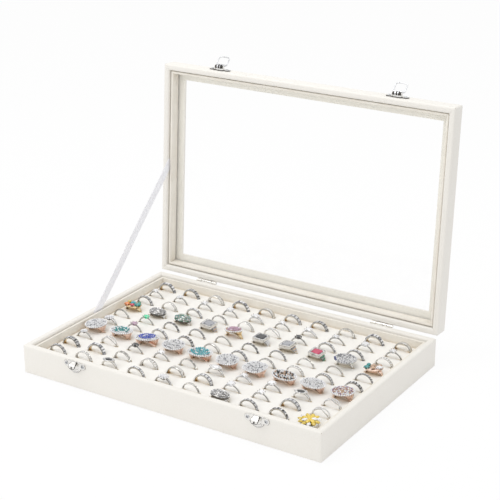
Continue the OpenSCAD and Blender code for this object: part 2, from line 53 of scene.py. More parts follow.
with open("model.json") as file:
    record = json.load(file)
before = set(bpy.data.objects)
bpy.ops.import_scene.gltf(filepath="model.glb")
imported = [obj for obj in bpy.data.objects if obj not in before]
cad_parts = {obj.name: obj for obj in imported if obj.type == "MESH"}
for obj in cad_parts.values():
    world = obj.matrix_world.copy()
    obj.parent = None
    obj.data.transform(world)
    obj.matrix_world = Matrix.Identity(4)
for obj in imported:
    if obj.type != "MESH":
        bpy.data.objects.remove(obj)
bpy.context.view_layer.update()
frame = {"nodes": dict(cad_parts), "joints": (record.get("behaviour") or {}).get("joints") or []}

Point = Sequence[float]
Outline = Sequence[Sequence[float]]
# how far a shape reaches from the origin, at an angle in radians
Reach = Callable[[float], float]


# ---------- the frame ----------


def moved(points: np.ndarray, place: np.ndarray) -> np.ndarray:
    """Carry points, in rows of x, y, z, to a 4x4 place."""
    return points @ place[:3, :3].T + place[:3, 3]


def linked(name: str, data: bpy.types.ID) -> Object:
    """Make an object of some data and put it in the scene.

    Args:
        name: The object's name.
        data: Its data, such as a mesh or a lamp.

    Returns:
        The object.
    """
    made = bpy.data.objects.new(name, data)
    bpy.context.scene.collection.objects.link(made)
    return made


def cleared(owner: Material | bpy.types.World) -> NodeTree:
    """Switch a material's or a world's nodes on, and return its emptied tree.

    Args:
        owner: The material or the world.

    Returns:
        The tree.
    """
    owner.use_nodes = True
    owner.node_tree.nodes.clear()
    return owner.node_tree


class CaseFrame:
    """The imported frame, and the way between the open lid and the shut one, in millimetres."""

    def __init__(self, joints: list[dict]) -> None:
        """Take the lid's hinge line and its swing from the frame.

        Args:
            joints: The frame's joints.
        """
        hinge = next(j for j in joints if j["name"] == "lid_hinge")
        self.hinge = Vector(hinge["pos_m"]) / MM
        about = Matrix.Translation(self.hinge)
        self.lid = about @ Matrix.Rotation(-math.radians(hinge["range_deg"][1]), 4, "X") @ about.inverted()

    def open(self, points: np.ndarray) -> np.ndarray:
        """Turn points of the shut lid, in rows of x, y, z, to where the open lid holds them."""
        return moved(points, np.array(self.lid))

    def box(self, node: str, lid: bool = False) -> tuple[np.ndarray, np.ndarray]:
        """Measure a node of the frame.

        Args:
            node: The node's name.
            lid: True for a node of the lid, which is measured with the lid shut.

        Returns:
            The lowest and the highest corner, in millimetres.
        """
        mesh = frame["nodes"][node].data
        flat = np.empty(len(mesh.vertices) * 3)
        mesh.vertices.foreach_get("co", flat)
        points = flat.reshape(-1, 3) / MM
        if lid:
            points = moved(points, np.array(self.lid.inverted()))
        return points.min(0), points.max(0)


CASE = CaseFrame(frame["joints"])


# ---------- materials ----------


def linear(hex_colour: str) -> tuple[float, float, float, float]:
    """Turn an sRGB hex colour into the linear colour that Blender's sockets hold.

    Args:
        hex_colour: A colour such as "#F3F0EA".

    Returns:
        Red, green, blue and an alpha of 1.
    """
    channels = [int(hex_colour[i : i + 2], 16) / 255 for i in (1, 3, 5)]
    low, high, knee = 12.92, 1.055, 0.04045
    red, green, blue = (
        c / low if c <= knee else ((c + high - 1) / high) ** 2.4 for c in channels
    )
    return red, green, blue, 1.0


def add(tree: NodeTree, kind: str, inputs: dict | None = None, **settings) -> Node:
    """Add a node.

    Args:
        tree: The tree that the node goes into.
        kind: The node's type name.
        inputs: A value or an output socket for each input, by its name or number.
        **settings: The node's own properties.

    Returns:
        The new node.
    """
    made = tree.nodes.new(kind)
    for name, value in settings.items():
        setattr(made, name, value)
    for name, value in (inputs or {}).items():
        if isinstance(value, NodeSocket):
            tree.links.new(value, made.inputs[name])
        else:
            made.inputs[name].default_value = value
    return made


def ramp(tree: NodeTree, value: NodeSocket, stops: list[tuple[float, str]]) -> NodeSocket:
    """Turn a value into a colour between stops.

    Args:
        tree: The material's tree.
        value: The socket that drives the ramp.
        stops: Positions with their sRGB hex colours, lowest first.

    Returns:
        The colour's socket.
    """
    made = add(tree, "ShaderNodeValToRGB", {"Fac": value})
    marks = made.color_ramp.elements
    while len(marks) < len(stops):
        marks.new(0.5)
    for mark, (place, colour) in zip(marks, stops):
        mark.position = place
        mark.color = linear(colour)
    return made.outputs["Color"]


def grains(size_mm: float) -> float:
    """Turn the width of a grain, in millimetres, into a texture's scale, in grains to the metre."""
    return 1 / (size_mm * MM)


def here(tree: NodeTree) -> NodeSocket:
    """Give the place on the object, in its own coordinates."""
    return add(tree, "ShaderNodeTexCoord").outputs["Object"]


def speckle(tree: NodeTree, size_mm: float, detail: float, more: dict | None = None) -> NodeSocket:
    """Add noise with grains of a size, and return its value."""
    inputs = {"Vector": here(tree), "Scale": grains(size_mm), "Detail": detail} | (more or {})
    return add(tree, "ShaderNodeTexNoise", inputs).outputs["Fac"]


def maths(tree: NodeTree, operation: str, *values: NodeSocket | float) -> NodeSocket:
    """Work out one value from a few."""
    return add(tree, "ShaderNodeMath", dict(enumerate(values)), operation=operation).outputs[0]


def between(tree: NodeTree, value: NodeSocket, low: float, high: float, start: float = 0.0,
            stop: float = 1.0) -> NodeSocket:
    """Map a value from one stretch, 0 to 1 if no other is given, to another."""
    inputs = {"Value": value, "From Min": start, "From Max": stop, "To Min": low, "To Max": high}
    return add(tree, "ShaderNodeMapRange", inputs).outputs[0]


def bumped(tree: NodeTree, height: NodeSocket, strength: float, depth_mm: float, more: dict | None = None,
           invert: bool = False) -> NodeSocket:
    """Turn a height, of a depth in millimetres, into a normal."""
    inputs = {"Height": height, "Strength": strength, "Distance": depth_mm * MM} | (more or {})
    return add(tree, "ShaderNodeBump", inputs, invert=invert).outputs[0]


def coated(tree: NodeTree, inputs: dict) -> NodeSocket:
    """Add the principled shader that most finishes end in."""
    return add(tree, "ShaderNodeBsdfPrincipled", inputs).outputs[0]


@dataclass(frozen=True)
class Finish:
    """A finish: the material's name and the record's slot that it belongs to."""

    name: str
    slot: str

    def make(self) -> Material:
        """Build the material, or return it if it is already there.

        Returns:
            The material.
        """
        found = bpy.data.materials.get(self.name)
        if found:
            return found
        material = bpy.data.materials.new(self.name)
        tree = cleared(material)
        add(tree, "ShaderNodeOutputMaterial", {"Surface": self.surface(tree)})
        return material

    def surface(self, tree: NodeTree) -> NodeSocket:
        """Build the surface shader in the material's empty tree, and return its socket.

        Args:
            tree: The tree.

        Returns:
            The shader's socket.
        """
        raise NotImplementedError


@dataclass(frozen=True)
class Leatherette(Finish):
    """Embossed PU leather: a soft satin film with fine pebbles, a little yellow in its valleys."""

    colour: str = "#F4F1EB"
    valley: str = "#ECE7DE"
    # real pebbles are 0.4 mm across; they are drawn at 1.1 mm so that a close view shows them
    pebble_mm: float = 1.1
    roughness: float = 0.46

    def surface(self, tree: NodeTree) -> NodeSocket:
        """Build the pebbled film; see Finish.surface."""
        bend = speckle(tree, 9, 3)
        pebbles = add(tree, "ShaderNodeTexVoronoi", {"Vector": here(tree), "Scale": grains(self.pebble_mm)},
                      feature="SMOOTH_F1").outputs["Distance"]
        relief = maths(tree, "MULTIPLY", pebbles, speckle(tree, 0.35, 2))
        shade = maths(tree, "MULTIPLY", relief, speckle(tree, 60, 2))
        swell = {"Normal": bumped(tree, bend, 0.12, 0.4)}
        return coated(tree, {
            "Base Color": ramp(tree, shade, [(0.0, self.colour), (0.55, self.valley)]),
            "Roughness": between(tree, bend, self.roughness - 0.05, self.roughness + 0.07),
            "Normal": bumped(tree, relief, 0.35, 0.08, swell, invert=True),
            "Specular IOR Level": 0.45, "Sheen Weight": 0.08, "Sheen Roughness": 0.4,
        })


@dataclass(frozen=True)
class Flock(Finish):
    """Flocking: short upright fibres on glue, matt, brighter at grazing angles, with a brushed nap, and,
    where a tint is given, painted warm shade in narrow places.
    """

    colour: str = "#F3EFE7"
    nap: str = "#E9E3D8"
    # real fibres are 0.02 mm thick; their tufts are drawn at 0.45 mm so that they show
    tuft_mm: float = 0.45
    sheen: float = 0.35
    # painted warm shade: the colour that the flock is painted in narrow places, standing in for light that
    # reaches it off other flock and warm metal
    painted_bounce_tint: str = ""
    painted_shade_reach_mm: float = 6.0

    def surface(self, tree: NodeTree) -> NodeSocket:
        """Build the velvet; see Finish.surface."""
        tufts = speckle(tree, self.tuft_mm, 4, {"Roughness": 0.7})
        strokes = speckle(tree, 24, 3, {"Distortion": 0.8})
        colour = ramp(tree, maths(tree, "MULTIPLY", tufts, strokes), [(0.12, self.nap), (0.42, self.colour)])
        # painted shade: ambient occlusion tints the flock warm where other pieces hem it in
        if self.painted_bounce_tint:
            painted_shade_ao = add(tree, "ShaderNodeAmbientOcclusion", {"Distance": self.painted_shade_reach_mm * MM}, samples=6)
            share = between(tree, painted_shade_ao.outputs["AO"], 0.0, 1.0, 0.2, 0.8)
            colour = add(tree, "ShaderNodeMix", {"Factor": share, "A": linear(self.painted_bounce_tint), "B": colour},
                         data_type="RGBA").outputs["Result"]
        return coated(tree, {
            "Base Color": colour, "Roughness": 0.95, "Normal": bumped(tree, tufts, 0.5, 0.15),
            "Specular IOR Level": 0.15, "Sheen Weight": self.sheen, "Sheen Roughness": 0.35,
        })


@dataclass(frozen=True)
class Satin(Finish):
    """Polyester satin ribbon: long warp floats give a silky stripe, and the selvedges are denser."""

    colour: str = "#FEFEFF"
    shade: str = "#F8F8FB"
    # real warp threads lie 0.12 mm apart; they are drawn 0.4 mm apart so that they show
    threads: float = 25.0

    def surface(self, tree: NodeTree) -> NodeSocket:
        """Build the woven silk; see Finish.surface. U runs across the ribbon and V along it."""
        place = add(tree, "ShaderNodeUVMap", uv_map="weave").outputs["UV"]
        stripes = {"Vector": place, "Scale": self.threads / 6.28, "Distortion": 0.4, "Detail": 1}
        warp = add(tree, "ShaderNodeTexWave", stripes, bands_direction="X").outputs["Fac"]
        streak = add(tree, "ShaderNodeMapping", {"Vector": place, "Scale": (30, 1.6, 1)}).outputs[0]
        floats = add(tree, "ShaderNodeTexNoise", {"Vector": streak, "Scale": 1.0, "Detail": 4}).outputs["Fac"]
        mixed = maths(tree, "MULTIPLY", warp, floats)
        colour = ramp(tree, mixed, [(0.0, self.shade), (0.5, self.colour)])
        silk = coated(tree, {
            "Base Color": colour, "Roughness": 0.38, "Normal": bumped(tree, mixed, 0.06, 0.05),
            "Sheen Weight": 0.3, "Sheen Roughness": 0.3, "Anisotropic": 0.2,
        })
        through = add(tree, "ShaderNodeBsdfTranslucent", {"Color": colour}).outputs[0]
        return add(tree, "ShaderNodeMixShader", {0: 0.62, 1: silk, 2: through}).outputs[0]


@dataclass(frozen=True)
class Metal(Finish):
    """Polished metal with faint handling marks; recess is the colour that ambient occlusion puts in its
    corners: tarnish on the ring metals, painted shade on the plated steel.
    """

    colour: str = "#DDDAD4"
    # recess: tarnish on the ring metals, painted shade on the plated steel
    recess: str = "#5B5852"
    roughness: float = 0.14
    reach_mm: float = 0.5
    # False also paints shade where the metal meets other pieces
    local: bool = True

    def surface(self, tree: NodeTree) -> NodeSocket:
        """Build the metal; see Finish.surface."""
        smears = speckle(tree, 3, 5)
        # corners darkened by ambient occlusion and mixed with the handling marks: tarnish on the ring metals,
        # painted shade on the plated steel
        corners = add(tree, "ShaderNodeAmbientOcclusion", {"Distance": self.reach_mm * MM}, samples=4,
                      only_local=self.local).outputs["AO"]
        tarnish_and_painted_shade = maths(tree, "MULTIPLY", corners, smears)
        return coated(tree, {
            "Base Color": ramp(tree, tarnish_and_painted_shade, [(0.12, self.recess), (0.44, self.colour)]), "Metallic": 1.0,
            "Roughness": between(tree, smears, self.roughness * 0.6, self.roughness * 1.7),
        })


@dataclass(frozen=True)
class CutStone(Finish):
    """Cut and polished stones: each facet takes its stone's tint, lighter or darker by a painted reflection.
    """

    def surface(self, tree: NodeTree) -> NodeSocket:
        """Build the stones; see Finish.surface."""
        tint = add(tree, "ShaderNodeAttribute", attribute_name="tint").outputs["Color"]
        # painted reflections: each facet's colour is scaled by the brightness painted on it
        flash = add(tree, "ShaderNodeAttribute", attribute_name="flash").outputs["Fac"]
        colour = add(tree, "ShaderNodeVectorMath", {0: tint, 1: flash}, operation="MULTIPLY").outputs[0]
        return coated(tree, {"Base Color": colour, "Roughness": 0.04, "IOR": 1.76, "Specular IOR Level": 0.5})


@dataclass(frozen=True)
class Pane(Finish):
    """Clear coated glass, which lets the lamps through and mirrors little."""

    colour: str = "#FFFFFF"

    def surface(self, tree: NodeTree) -> NodeSocket:
        """Build the glass; see Finish.surface."""
        ripple = bumped(tree, speckle(tree, 120, 1), 0.02, 0.2)
        colour = linear(self.colour)
        clear = add(tree, "ShaderNodeBsdfTransparent", {"Color": colour}).outputs[0]
        gloss = add(tree, "ShaderNodeBsdfGlossy", {"Color": colour, "Roughness": 0.0, "Normal": ripple})
        # light is mirrored where it goes into the pane, and not again where it comes out
        leaving = add(tree, "ShaderNodeNewGeometry").outputs["Backfacing"]
        bounce = add(tree, "ShaderNodeFresnel", {"IOR": 1.25, "Normal": ripple}).outputs[0]
        share = maths(tree, "MULTIPLY", bounce, maths(tree, "SUBTRACT", 1.0, leaving))
        return add(tree, "ShaderNodeMixShader", {0: share, 1: clear, 2: gloss.outputs[0]}).outputs[0]


@dataclass(frozen=True)
class Board(Finish):
    """Pressed board or paper: matt, with flecks of fibre."""

    colour: str = "#B4A88F"
    fleck: str = "#9C9079"
    fibre_mm: float = 0.8

    def surface(self, tree: NodeTree) -> NodeSocket:
        """Build the fibres; see Finish.surface."""
        fibres = speckle(tree, self.fibre_mm, 6, {"Roughness": 0.7, "Distortion": 1.5})
        return coated(tree, {
            "Base Color": ramp(tree, fibres, [(0.35, self.fleck), (0.6, self.colour)]), "Roughness": 0.9,
            "Normal": bumped(tree, fibres, 0.4, 0.1), "Specular IOR Level": 0.2,
        })


LEATHER = Leatherette("embossed PU leather", "white_leather")
# the pad is painted warm where the rings hem it in: painted bounce light and shade
PAD_FLOCK = Flock("flocked foam", "flocked_foam", "#FDFBF7", "#F8F5EF", painted_bounce_tint="#F0E0C4")
LINER_FLOCK = Flock("flocked lining", "flocked_lining", "#F6F2EA", "#EEE8DD")
LINING_SHEET = Flock("brushed lining sheet", "lining_sheet", "#EDE9E1", "#DDD6CA", sheen=0.15)
SATIN = Satin("satin ribbon", "satin_ribbon")
# painted contact shade: nickel is darkened where it meets the covering and other pieces
NICKEL = Metal("nickel-plated steel", "nickel_plate", "#F1EFEB", "#5E5A56", roughness=0.26, local=False)
# painted shade: chrome turns near black within 1.3 mm of its hollows
CHROME = Metal("chromed steel", "nickel_plate", "#CFD0D2", "#1F2022", roughness=0.1, reach_mm=1.3)
# painted shade and dark reflections: a dark steel laid on the hardware's edges, gaps, barrels and stamped
# lines
PAINTED_DARK_STEEL = Metal("bare cut edge", "nickel_plate", "#4A4744", "#1B1A19", roughness=0.3, reach_mm=1.0)
SILVER = Metal("cast silver", "ring_silver", "#DAD8D4", "#34322F", roughness=0.14, reach_mm=0.9)
GOLD = Metal("cast yellow gold", "ring_silver", "#E2CBA2", "#9A7846", roughness=0.16)
ROSE_GOLD = Metal("cast rose gold", "ring_silver", "#F3DACB", "#B07A62", roughness=0.18)
# dark oxidised silver, which also paints shade in the rings' hollows and a dark reflection along the bands'
# edges
OXIDE_AND_SHADE_SILVER = Metal("oxidised silver", "ring_silver", "#75726D", "#262422", roughness=0.3)
STONE = CutStone("cut stone", "ring_silver")
GLASS = Pane("clear float glass", "clear_glass")
GREY_BOARD = Board("grey board", "grey_board")
SEAT_PAPER = Board("lining paper", "lining_sheet", "#FAF8F1", "#F5F2E9", fibre_mm=1.2)


# ---------- meshes ----------


def arc(x: float, y: float, radius: float, start: float, end: float, steps: int = 6) -> list[list[float]]:
    """List the points of an arc about (x, y) between two angles in degrees, with some chords."""
    turns = [math.radians(start + (end - start) * i / steps) for i in range(steps + 1)]
    return [[x + radius * math.cos(t), y + radius * math.sin(t)] for t in turns]


def round_box(width: float, depth: float, radius: float, steps: int = 5) -> np.ndarray:
    """Outline a rectangle with round corners about the origin.

    Args:
        width: Its size along x.
        depth: Its size along y.
        radius: The radius of its corners.
        steps: The chords in each corner.

    Returns:
        The outline's points, anticlockwise.
    """
    x, y = width / 2 - radius, depth / 2 - radius
    corners = [(x, -y, -90), (x, y, 0), (-x, y, 90), (-x, -y, 180)]
    return np.array([p for cx, cy, a in corners for p in arc(cx, cy, radius, a, a + 90, steps)])


def circle(radius: float, points: int = 24) -> np.ndarray:
    """Outline a circle about the origin, anticlockwise."""
    return oval(2 * radius, 2 * radius, points)


def polar(radius: float, degrees: float) -> tuple[float, float]:
    """Turn a radius and an angle into x and y."""
    return radius * math.cos(math.radians(degrees)), radius * math.sin(math.radians(degrees))


def oval(length: float, width: float, points: int = 24, power: float = 2.0) -> np.ndarray:
    """Outline an ellipse, or with another power a squarer or sharper shape.

    Args:
        length: Its size along x.
        width: Its size along y.
        points: The number of points.
        power: 2 for an ellipse, more for a cushion.

    Returns:
        The outline's points, anticlockwise.
    """
    turns = np.arange(points) * 2 * math.pi / points
    c, s = np.cos(turns), np.sin(turns)
    return np.stack([np.sign(c) * np.abs(c) ** (2 / power) * length / 2,
                     np.sign(s) * np.abs(s) ** (2 / power) * width / 2], 1)


def leaf(length: float, width: float, points: int = 24) -> np.ndarray:
    """Outline a pointed leaf, as a marquise has.

    Args:
        length: Its size along x.
        width: Its size along y.
        points: The number of points, an even one.

    Returns:
        The outline's points, anticlockwise.
    """
    half = points // 2
    x = np.cos(np.arange(half) * math.pi / half)
    y = (1 - x**2) ** 0.8
    upper = np.stack([x * length / 2, y * width / 2], 1)
    return np.concatenate([upper, -upper])


def placed(origin: Point, turn: Matrix | None = None) -> np.ndarray:
    """Make the 4x4 place of a shape that is turned and then moved to an origin, in millimetres."""
    return np.array(Matrix.Translation(Vector(origin)) @ (turn.to_4x4() if turn else Matrix.Identity(4)))


def turned(axis: str, degrees: float) -> Matrix:
    """Make a turn about an axis through the origin, in degrees."""
    return Matrix.Rotation(math.radians(degrees), 4, axis)


# a shape drawn flat in x and z, with its height towards the front of the case
FACING_FRONT = turned("X", 90)
FACING_BACK = turned("Z", 180) @ turned("X", 90)
# a shape drawn upwards along z, laid along x, with its x and y in y and z
UP_TO_X = Matrix(((0, 0, 1), (1, 0, 0), (0, 1, 0)))


class Form:
    """Points and faces of one piece, in millimetres, gathered before they become its mesh."""

    def __init__(self) -> None:
        """Start with nothing."""
        self.points: list[np.ndarray] = []
        self.faces: list[tuple[int, ...]] = []
        self.finish: list[int] = []
        self.smooth: list[bool] = []
        self.count = 0

    def add(self, points: np.ndarray, faces: Iterable[Sequence[int]], finish: int | Sequence[int] = 0,
            smooth: bool = True) -> None:
        """Add points and the faces between them.

        Args:
            points: Rows of x, y, z.
            faces: Corner numbers within these points, anticlockwise from outside.
            finish: The number of the finish, or one for each face, over and over.
            smooth: True to shade across edges.
        """
        faces = list(faces)
        self.faces += [tuple(int(i) + self.count for i in face) for face in faces]
        self.finish += np.resize(finish, len(faces)).tolist()
        self.smooth += [smooth] * len(faces)
        self.points.append(np.asarray(points, float).reshape(-1, 3))
        self.count += len(self.points[-1])

    def grid(self, rows: np.ndarray, closed_rows: bool = False, closed_cols: bool = True,
             caps: bool = False, finish: int | Sequence[int] = 0) -> None:
        """Add a smooth surface between rows of points.

        Args:
            rows: An array of rows by columns by 3.
            closed_rows: True if the last row joins the first.
            closed_cols: True if each row is a loop.
            caps: True to close the first and last row with a face.
            finish: The number of the finish, or one for each face.
        """
        n, m = rows.shape[:2]
        faces = [
            (i * m + j, i * m + (j + 1) % m, (i + 1) % n * m + (j + 1) % m, (i + 1) % n * m + j)
            for i in range(n if closed_rows else n - 1)
            for j in range(m if closed_cols else m - 1)
        ]
        if caps:
            faces += [tuple(range(m))[::-1], tuple(range((n - 1) * m, n * m))]
        self.add(rows, faces, finish)

    def stack(self, outline: np.ndarray, levels: Outline, place: np.ndarray, finish: int = 0) -> None:
        """Add a solid from outlines one above the other, such as a plate with a bevelled edge.

        Args:
            outline: The outline's points, anticlockwise about its origin.
            levels: For each outline, lowest first, how far it is drawn in, and its height.
            place: Where the solid goes.
            finish: The number of the finish.
        """
        reach = np.linalg.norm(outline, axis=1, keepdims=True)
        rows = [np.column_stack([outline * np.maximum(1 - inset / reach, 0.0), np.full(len(outline), height)])
                for inset, height in levels]
        self.grid(moved(np.array(rows), place), caps=True, finish=finish)

    def run(self, section: np.ndarray, x0: float, x1: float, place: np.ndarray, finish: int = 0,
            bevel: float = 0.0) -> None:
        """Add a bar: an outline in y and z, anticlockwise seen from +x, run along x.

        Args:
            section: The outline's points.
            x0: Where the bar starts.
            x1: Where it ends.
            place: Where the bar goes.
            finish: The number of the finish.
            bevel: How far its ends are rounded.
        """
        middle = section.mean(0)
        levels = [(bevel, x0), (0, x0 + bevel), (0, x1 - bevel), (bevel, x1)] if bevel else [(0, x0), (0, x1)]
        self.stack(section - middle, levels, place @ placed((0, *middle), UP_TO_X), finish)

    def tube(self, path: np.ndarray, radius: float, sides: int = 10, closed: bool = False,
             finish: int = 0) -> None:
        """Add a round wire along a path.

        Args:
            path: Rows of x, y, z.
            radius: The wire's radius.
            sides: The number of sides.
            closed: True if the path is a loop.
            finish: The number of the finish.
        """
        along = np.roll(path, -1, 0) - np.roll(path, 1, 0)
        if not closed:
            along[0], along[-1] = path[1] - path[0], path[-1] - path[-2]
        along /= np.linalg.norm(along, axis=1, keepdims=True)
        side = np.cross(along[0], [0.0, 0.0, 1.0])
        if np.linalg.norm(side) < 0.1:
            side = np.cross(along[0], [0.0, 1.0, 0.0])
        rows = []
        c, s = circle(radius, sides).T[:, :, None]
        for point, way in zip(path, along):
            side = side - way * side.dot(way)
            side /= np.linalg.norm(side)
            rows.append(point + c * side + s * np.cross(way, side))
        self.grid(np.array(rows), closed_rows=closed, caps=not closed, finish=finish)

    def piece(self, name: str, finishes: Sequence[Finish], body: str, nodes: Sequence[str] = (),
              lid: bool = False) -> Object:
        """Turn what was gathered into a piece, dress it and set it on its body.

        Args:
            name: The piece's name.
            finishes: Its finishes, in the order of their numbers.
            body: The body that it rides on.
            nodes: The nodes that it stands for.
            lid: True for a piece drawn on the shut lid.

        Returns:
            The piece.
        """
        return settle(self.mesh(name, finishes, lid), finishes[0], body, nodes)

    def mesh(self, name: str, finishes: Sequence[Finish], lid: bool = False) -> Object:
        """Turn what was gathered into an object; see piece.

        Args:
            name: The object's name.
            finishes: Its finishes, in the order of their numbers.
            lid: True for a shape drawn on the shut lid.

        Returns:
            The object.
        """
        points = np.concatenate(self.points)
        if lid:
            points = CASE.open(points)
        mesh = bpy.data.meshes.new(name)
        mesh.from_pydata((points * MM).tolist(), [], self.faces)
        for finish in finishes:
            mesh.materials.append(finish.make())
        mesh.polygons.foreach_set("material_index", self.finish)
        mesh.polygons.foreach_set("use_smooth", self.smooth)
        mesh.update()
        return linked(name, mesh)


def settle(piece: Object, finish: Finish, body: str, nodes: Sequence[str] = ()) -> Object:
    """Set a piece on its body and hide the nodes that it stands for.

    Args:
        piece: The piece.
        finish: Its main finish; not used.
        body: The body that it rides on.
        nodes: The nodes that it stands for.

    Returns:
        The piece.
    """
    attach(piece, body)
    if nodes:
        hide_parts(*nodes)
    LOG.info("%s: %d faces", piece.name, len(piece.data.polygons))
    return piece


def dress(nodes: Iterable[str], finish: Finish) -> None:
    """Give nodes of the frame a finish, and keep their shapes.

    Args:
        nodes: The nodes' names.
        finish: The finish.
    """
    for name in nodes:
        slots = frame["nodes"][name].data.materials
        slots.clear()
        slots.append(finish.make())


def crisp(piece: Object, degrees: float = 40) -> Object:
    """Keep a piece's edges sharper than an angle hard, and shade across the rest; return it."""
    piece.data.set_sharp_from_angle(angle=math.radians(degrees))
    return piece


# ---------- boards and covering ----------


@dataclass
class Case:
    """Outer sizes of the case, in millimetres, taken from the frame, and its covering's own."""

    corner_r: float = 2.2
    wrap_t: float = 0.8
    rim_t: float = 7.0
    wrap_turn: float = 9.0
    wrap_under: float = 12.0
    sheet_t: float = 0.6
    window_inset: float = 18.5
    panel_low: float = 48.3
    per_side: int = 26
    per_corner: int = 8
    crease: float = 0.28
    sink: float = 0.16
    swell_mm: float = 46.0

    def __post_init__(self) -> None:
        """Measure the tray and the lid in the frame."""
        low, high = CASE.box("tray_wrap")
        self.width, self.depth = high[0] - low[0], high[1] - low[1]
        self.tray_low, self.tray_h = low[2], high[2]
        low, high = CASE.box("lid_wrap", lid=True)
        self.lid_low, self.lid_top = low[2], high[2]

    def around(self, inset: float) -> tuple[np.ndarray, np.ndarray]:
        """Walk once round the case at some distance inside its outline.

        Args:
            inset: The distance.

        Returns:
            The points in x and y, and the way outwards at each.
        """
        radius = max(self.corner_r - inset, 0.25)
        x, y = self.width / 2 - inset - radius, self.depth / 2 - inset - radius
        points, ways = [], []
        corners = [(x, -y, -90), (x, y, 0), (-x, y, 90), (-x, -y, 180)]
        for corner, following in zip(corners, corners[1:] + corners[:1]):
            bend = np.array(arc(0, 0, 1, corner[2], corner[2] + 90, self.per_corner))
            points += list(corner[:2] + radius * bend)
            straight = np.linspace(points[-1], following[:2] + radius * bend[-1], self.per_side + 1)[1:-1]
            points += list(straight)
            ways += [*bend, *[bend[-1]] * len(straight)]
        return np.array(points), np.array(ways)

    def skin(self, name: str, outline: Outline, under: Outline, body: str) -> None:
        """Build a leather covering: it sinks a little between the edges and is creased at the mitres.

        Args:
            name: The piece's name.
            outline: Its shown side as (inset, height), from one cut edge to the other.
            under: Its glued side, back to where it began.
            body: The body that it covers, "tray" or "lid".
        """
        shown = densify(np.array(outline, float), 2.5)
        run = np.diff(shown, axis=0, prepend=shown[:1] - (shown[1:2] - shown[:1]))
        length = np.linalg.norm(run, axis=1, keepdims=True)
        run /= np.maximum(length, 1e-9)
        travelled = np.cumsum(length) - length[0]
        rows = []
        for (inset, height), (along, up), s in zip(shown, run, travelled):
            points, outwards = self.around(inset)
            swell = np.array([noise.noise(Vector((x, y, s)) / self.swell_mm) for x, y in points])
            drop = self.sink * (0.5 + 0.5 * swell[:, None])
            if inset > self.corner_r and abs(along) > 0.5:
                drop[self.per_corner // 2 :: self.per_corner + self.per_side] += self.crease
            rows.append(np.hstack([points - outwards * drop * up, height - drop * along]))
        for inset, height in under:
            points, _ = self.around(inset)
            rows.append(np.column_stack([points, np.full(len(points), height)]))
        form = Form()
        form.grid(np.array(rows)[::-1], closed_rows=True)
        settle(crisp(form.mesh(name, [LEATHER], body == "lid"), 50), LEATHER, body, [body + "_wrap"])

    def build_tray(self) -> None:
        """Cover the tray: under its base, up the outside, over the rim and down the inside."""
        r, t, top, low = self.corner_r, self.wrap_t, self.tray_h, self.sheet_t
        outline = [
            [self.wrap_under, low], [t, low], *arc(t, low + t, t, -90, -180, 4),
            *arc(r, top - r, r, 180, 90), *arc(self.rim_t - r, top - r, r, 90, 0),
            [self.rim_t, top - self.wrap_turn],
        ]
        under = [[self.rim_t - t, top - self.wrap_turn], [self.rim_t - t, top - t], [t, top - t],
                 [t, low + t], [self.wrap_under, low + t]]
        self.skin("tray_covering", outline, under, "tray")

    def build_lid(self) -> None:
        """Cover the lid: inside its rim, round it, up the outside and over the frame of the window."""
        r, t, low, top = self.corner_r, self.wrap_t, self.lid_low, self.lid_top
        edge = self.window_inset
        outline = [
            [self.rim_t, low + self.wrap_turn], *arc(self.rim_t - r, low + r, r, 0, -90),
            *arc(r, low + r, r, 270, 180), *arc(r, top - r, r, 180, 90),
            *arc(edge - t, top - t, t, 90, 0, 4), [edge, self.panel_low],
        ]
        under = [[edge - t, self.panel_low], [edge - t, top - t], [t, top - t], [t, low + t],
                 [self.rim_t - t, low + t], [self.rim_t - t, low + self.wrap_turn]]
        self.skin("lid_covering", outline, under, "lid")

    def build_pane(self) -> None:
        """Build the glass with ground edges, a hair off the paper that it lies on."""
        low, high = CASE.box("lid_glass", lid=True)
        bottom, top, ground = low[2], high[2] - 0.05, 0.4
        form = Form()
        form.stack(round_box(high[0] - low[0], high[1] - low[1], 0.6, 2),
                   [(ground, bottom), (0, bottom + ground), (0, top - ground), (ground, top)], np.eye(4))
        crisp(form.piece("glass_pane", [GLASS], "lid", ["lid_glass"], lid=True), 20)


def densify(outline: np.ndarray, step: float) -> np.ndarray:
    """Put more points on the long stretches of an outline.

    Args:
        outline: The outline's points.
        step: The longest stretch that stays.

    Returns:
        The outline with its added points.
    """
    points = [outline[0]]
    for a, b in zip(outline[:-1], outline[1:]):
        parts = max(1, math.ceil(np.linalg.norm(b - a) / step))
        points += [a + (b - a) * (i + 1) / parts for i in range(parts)]
    keep = [0] + [i for i in range(1, len(points)) if np.linalg.norm(points[i] - points[i - 1]) > 1e-6]
    return np.array([points[i] for i in keep])


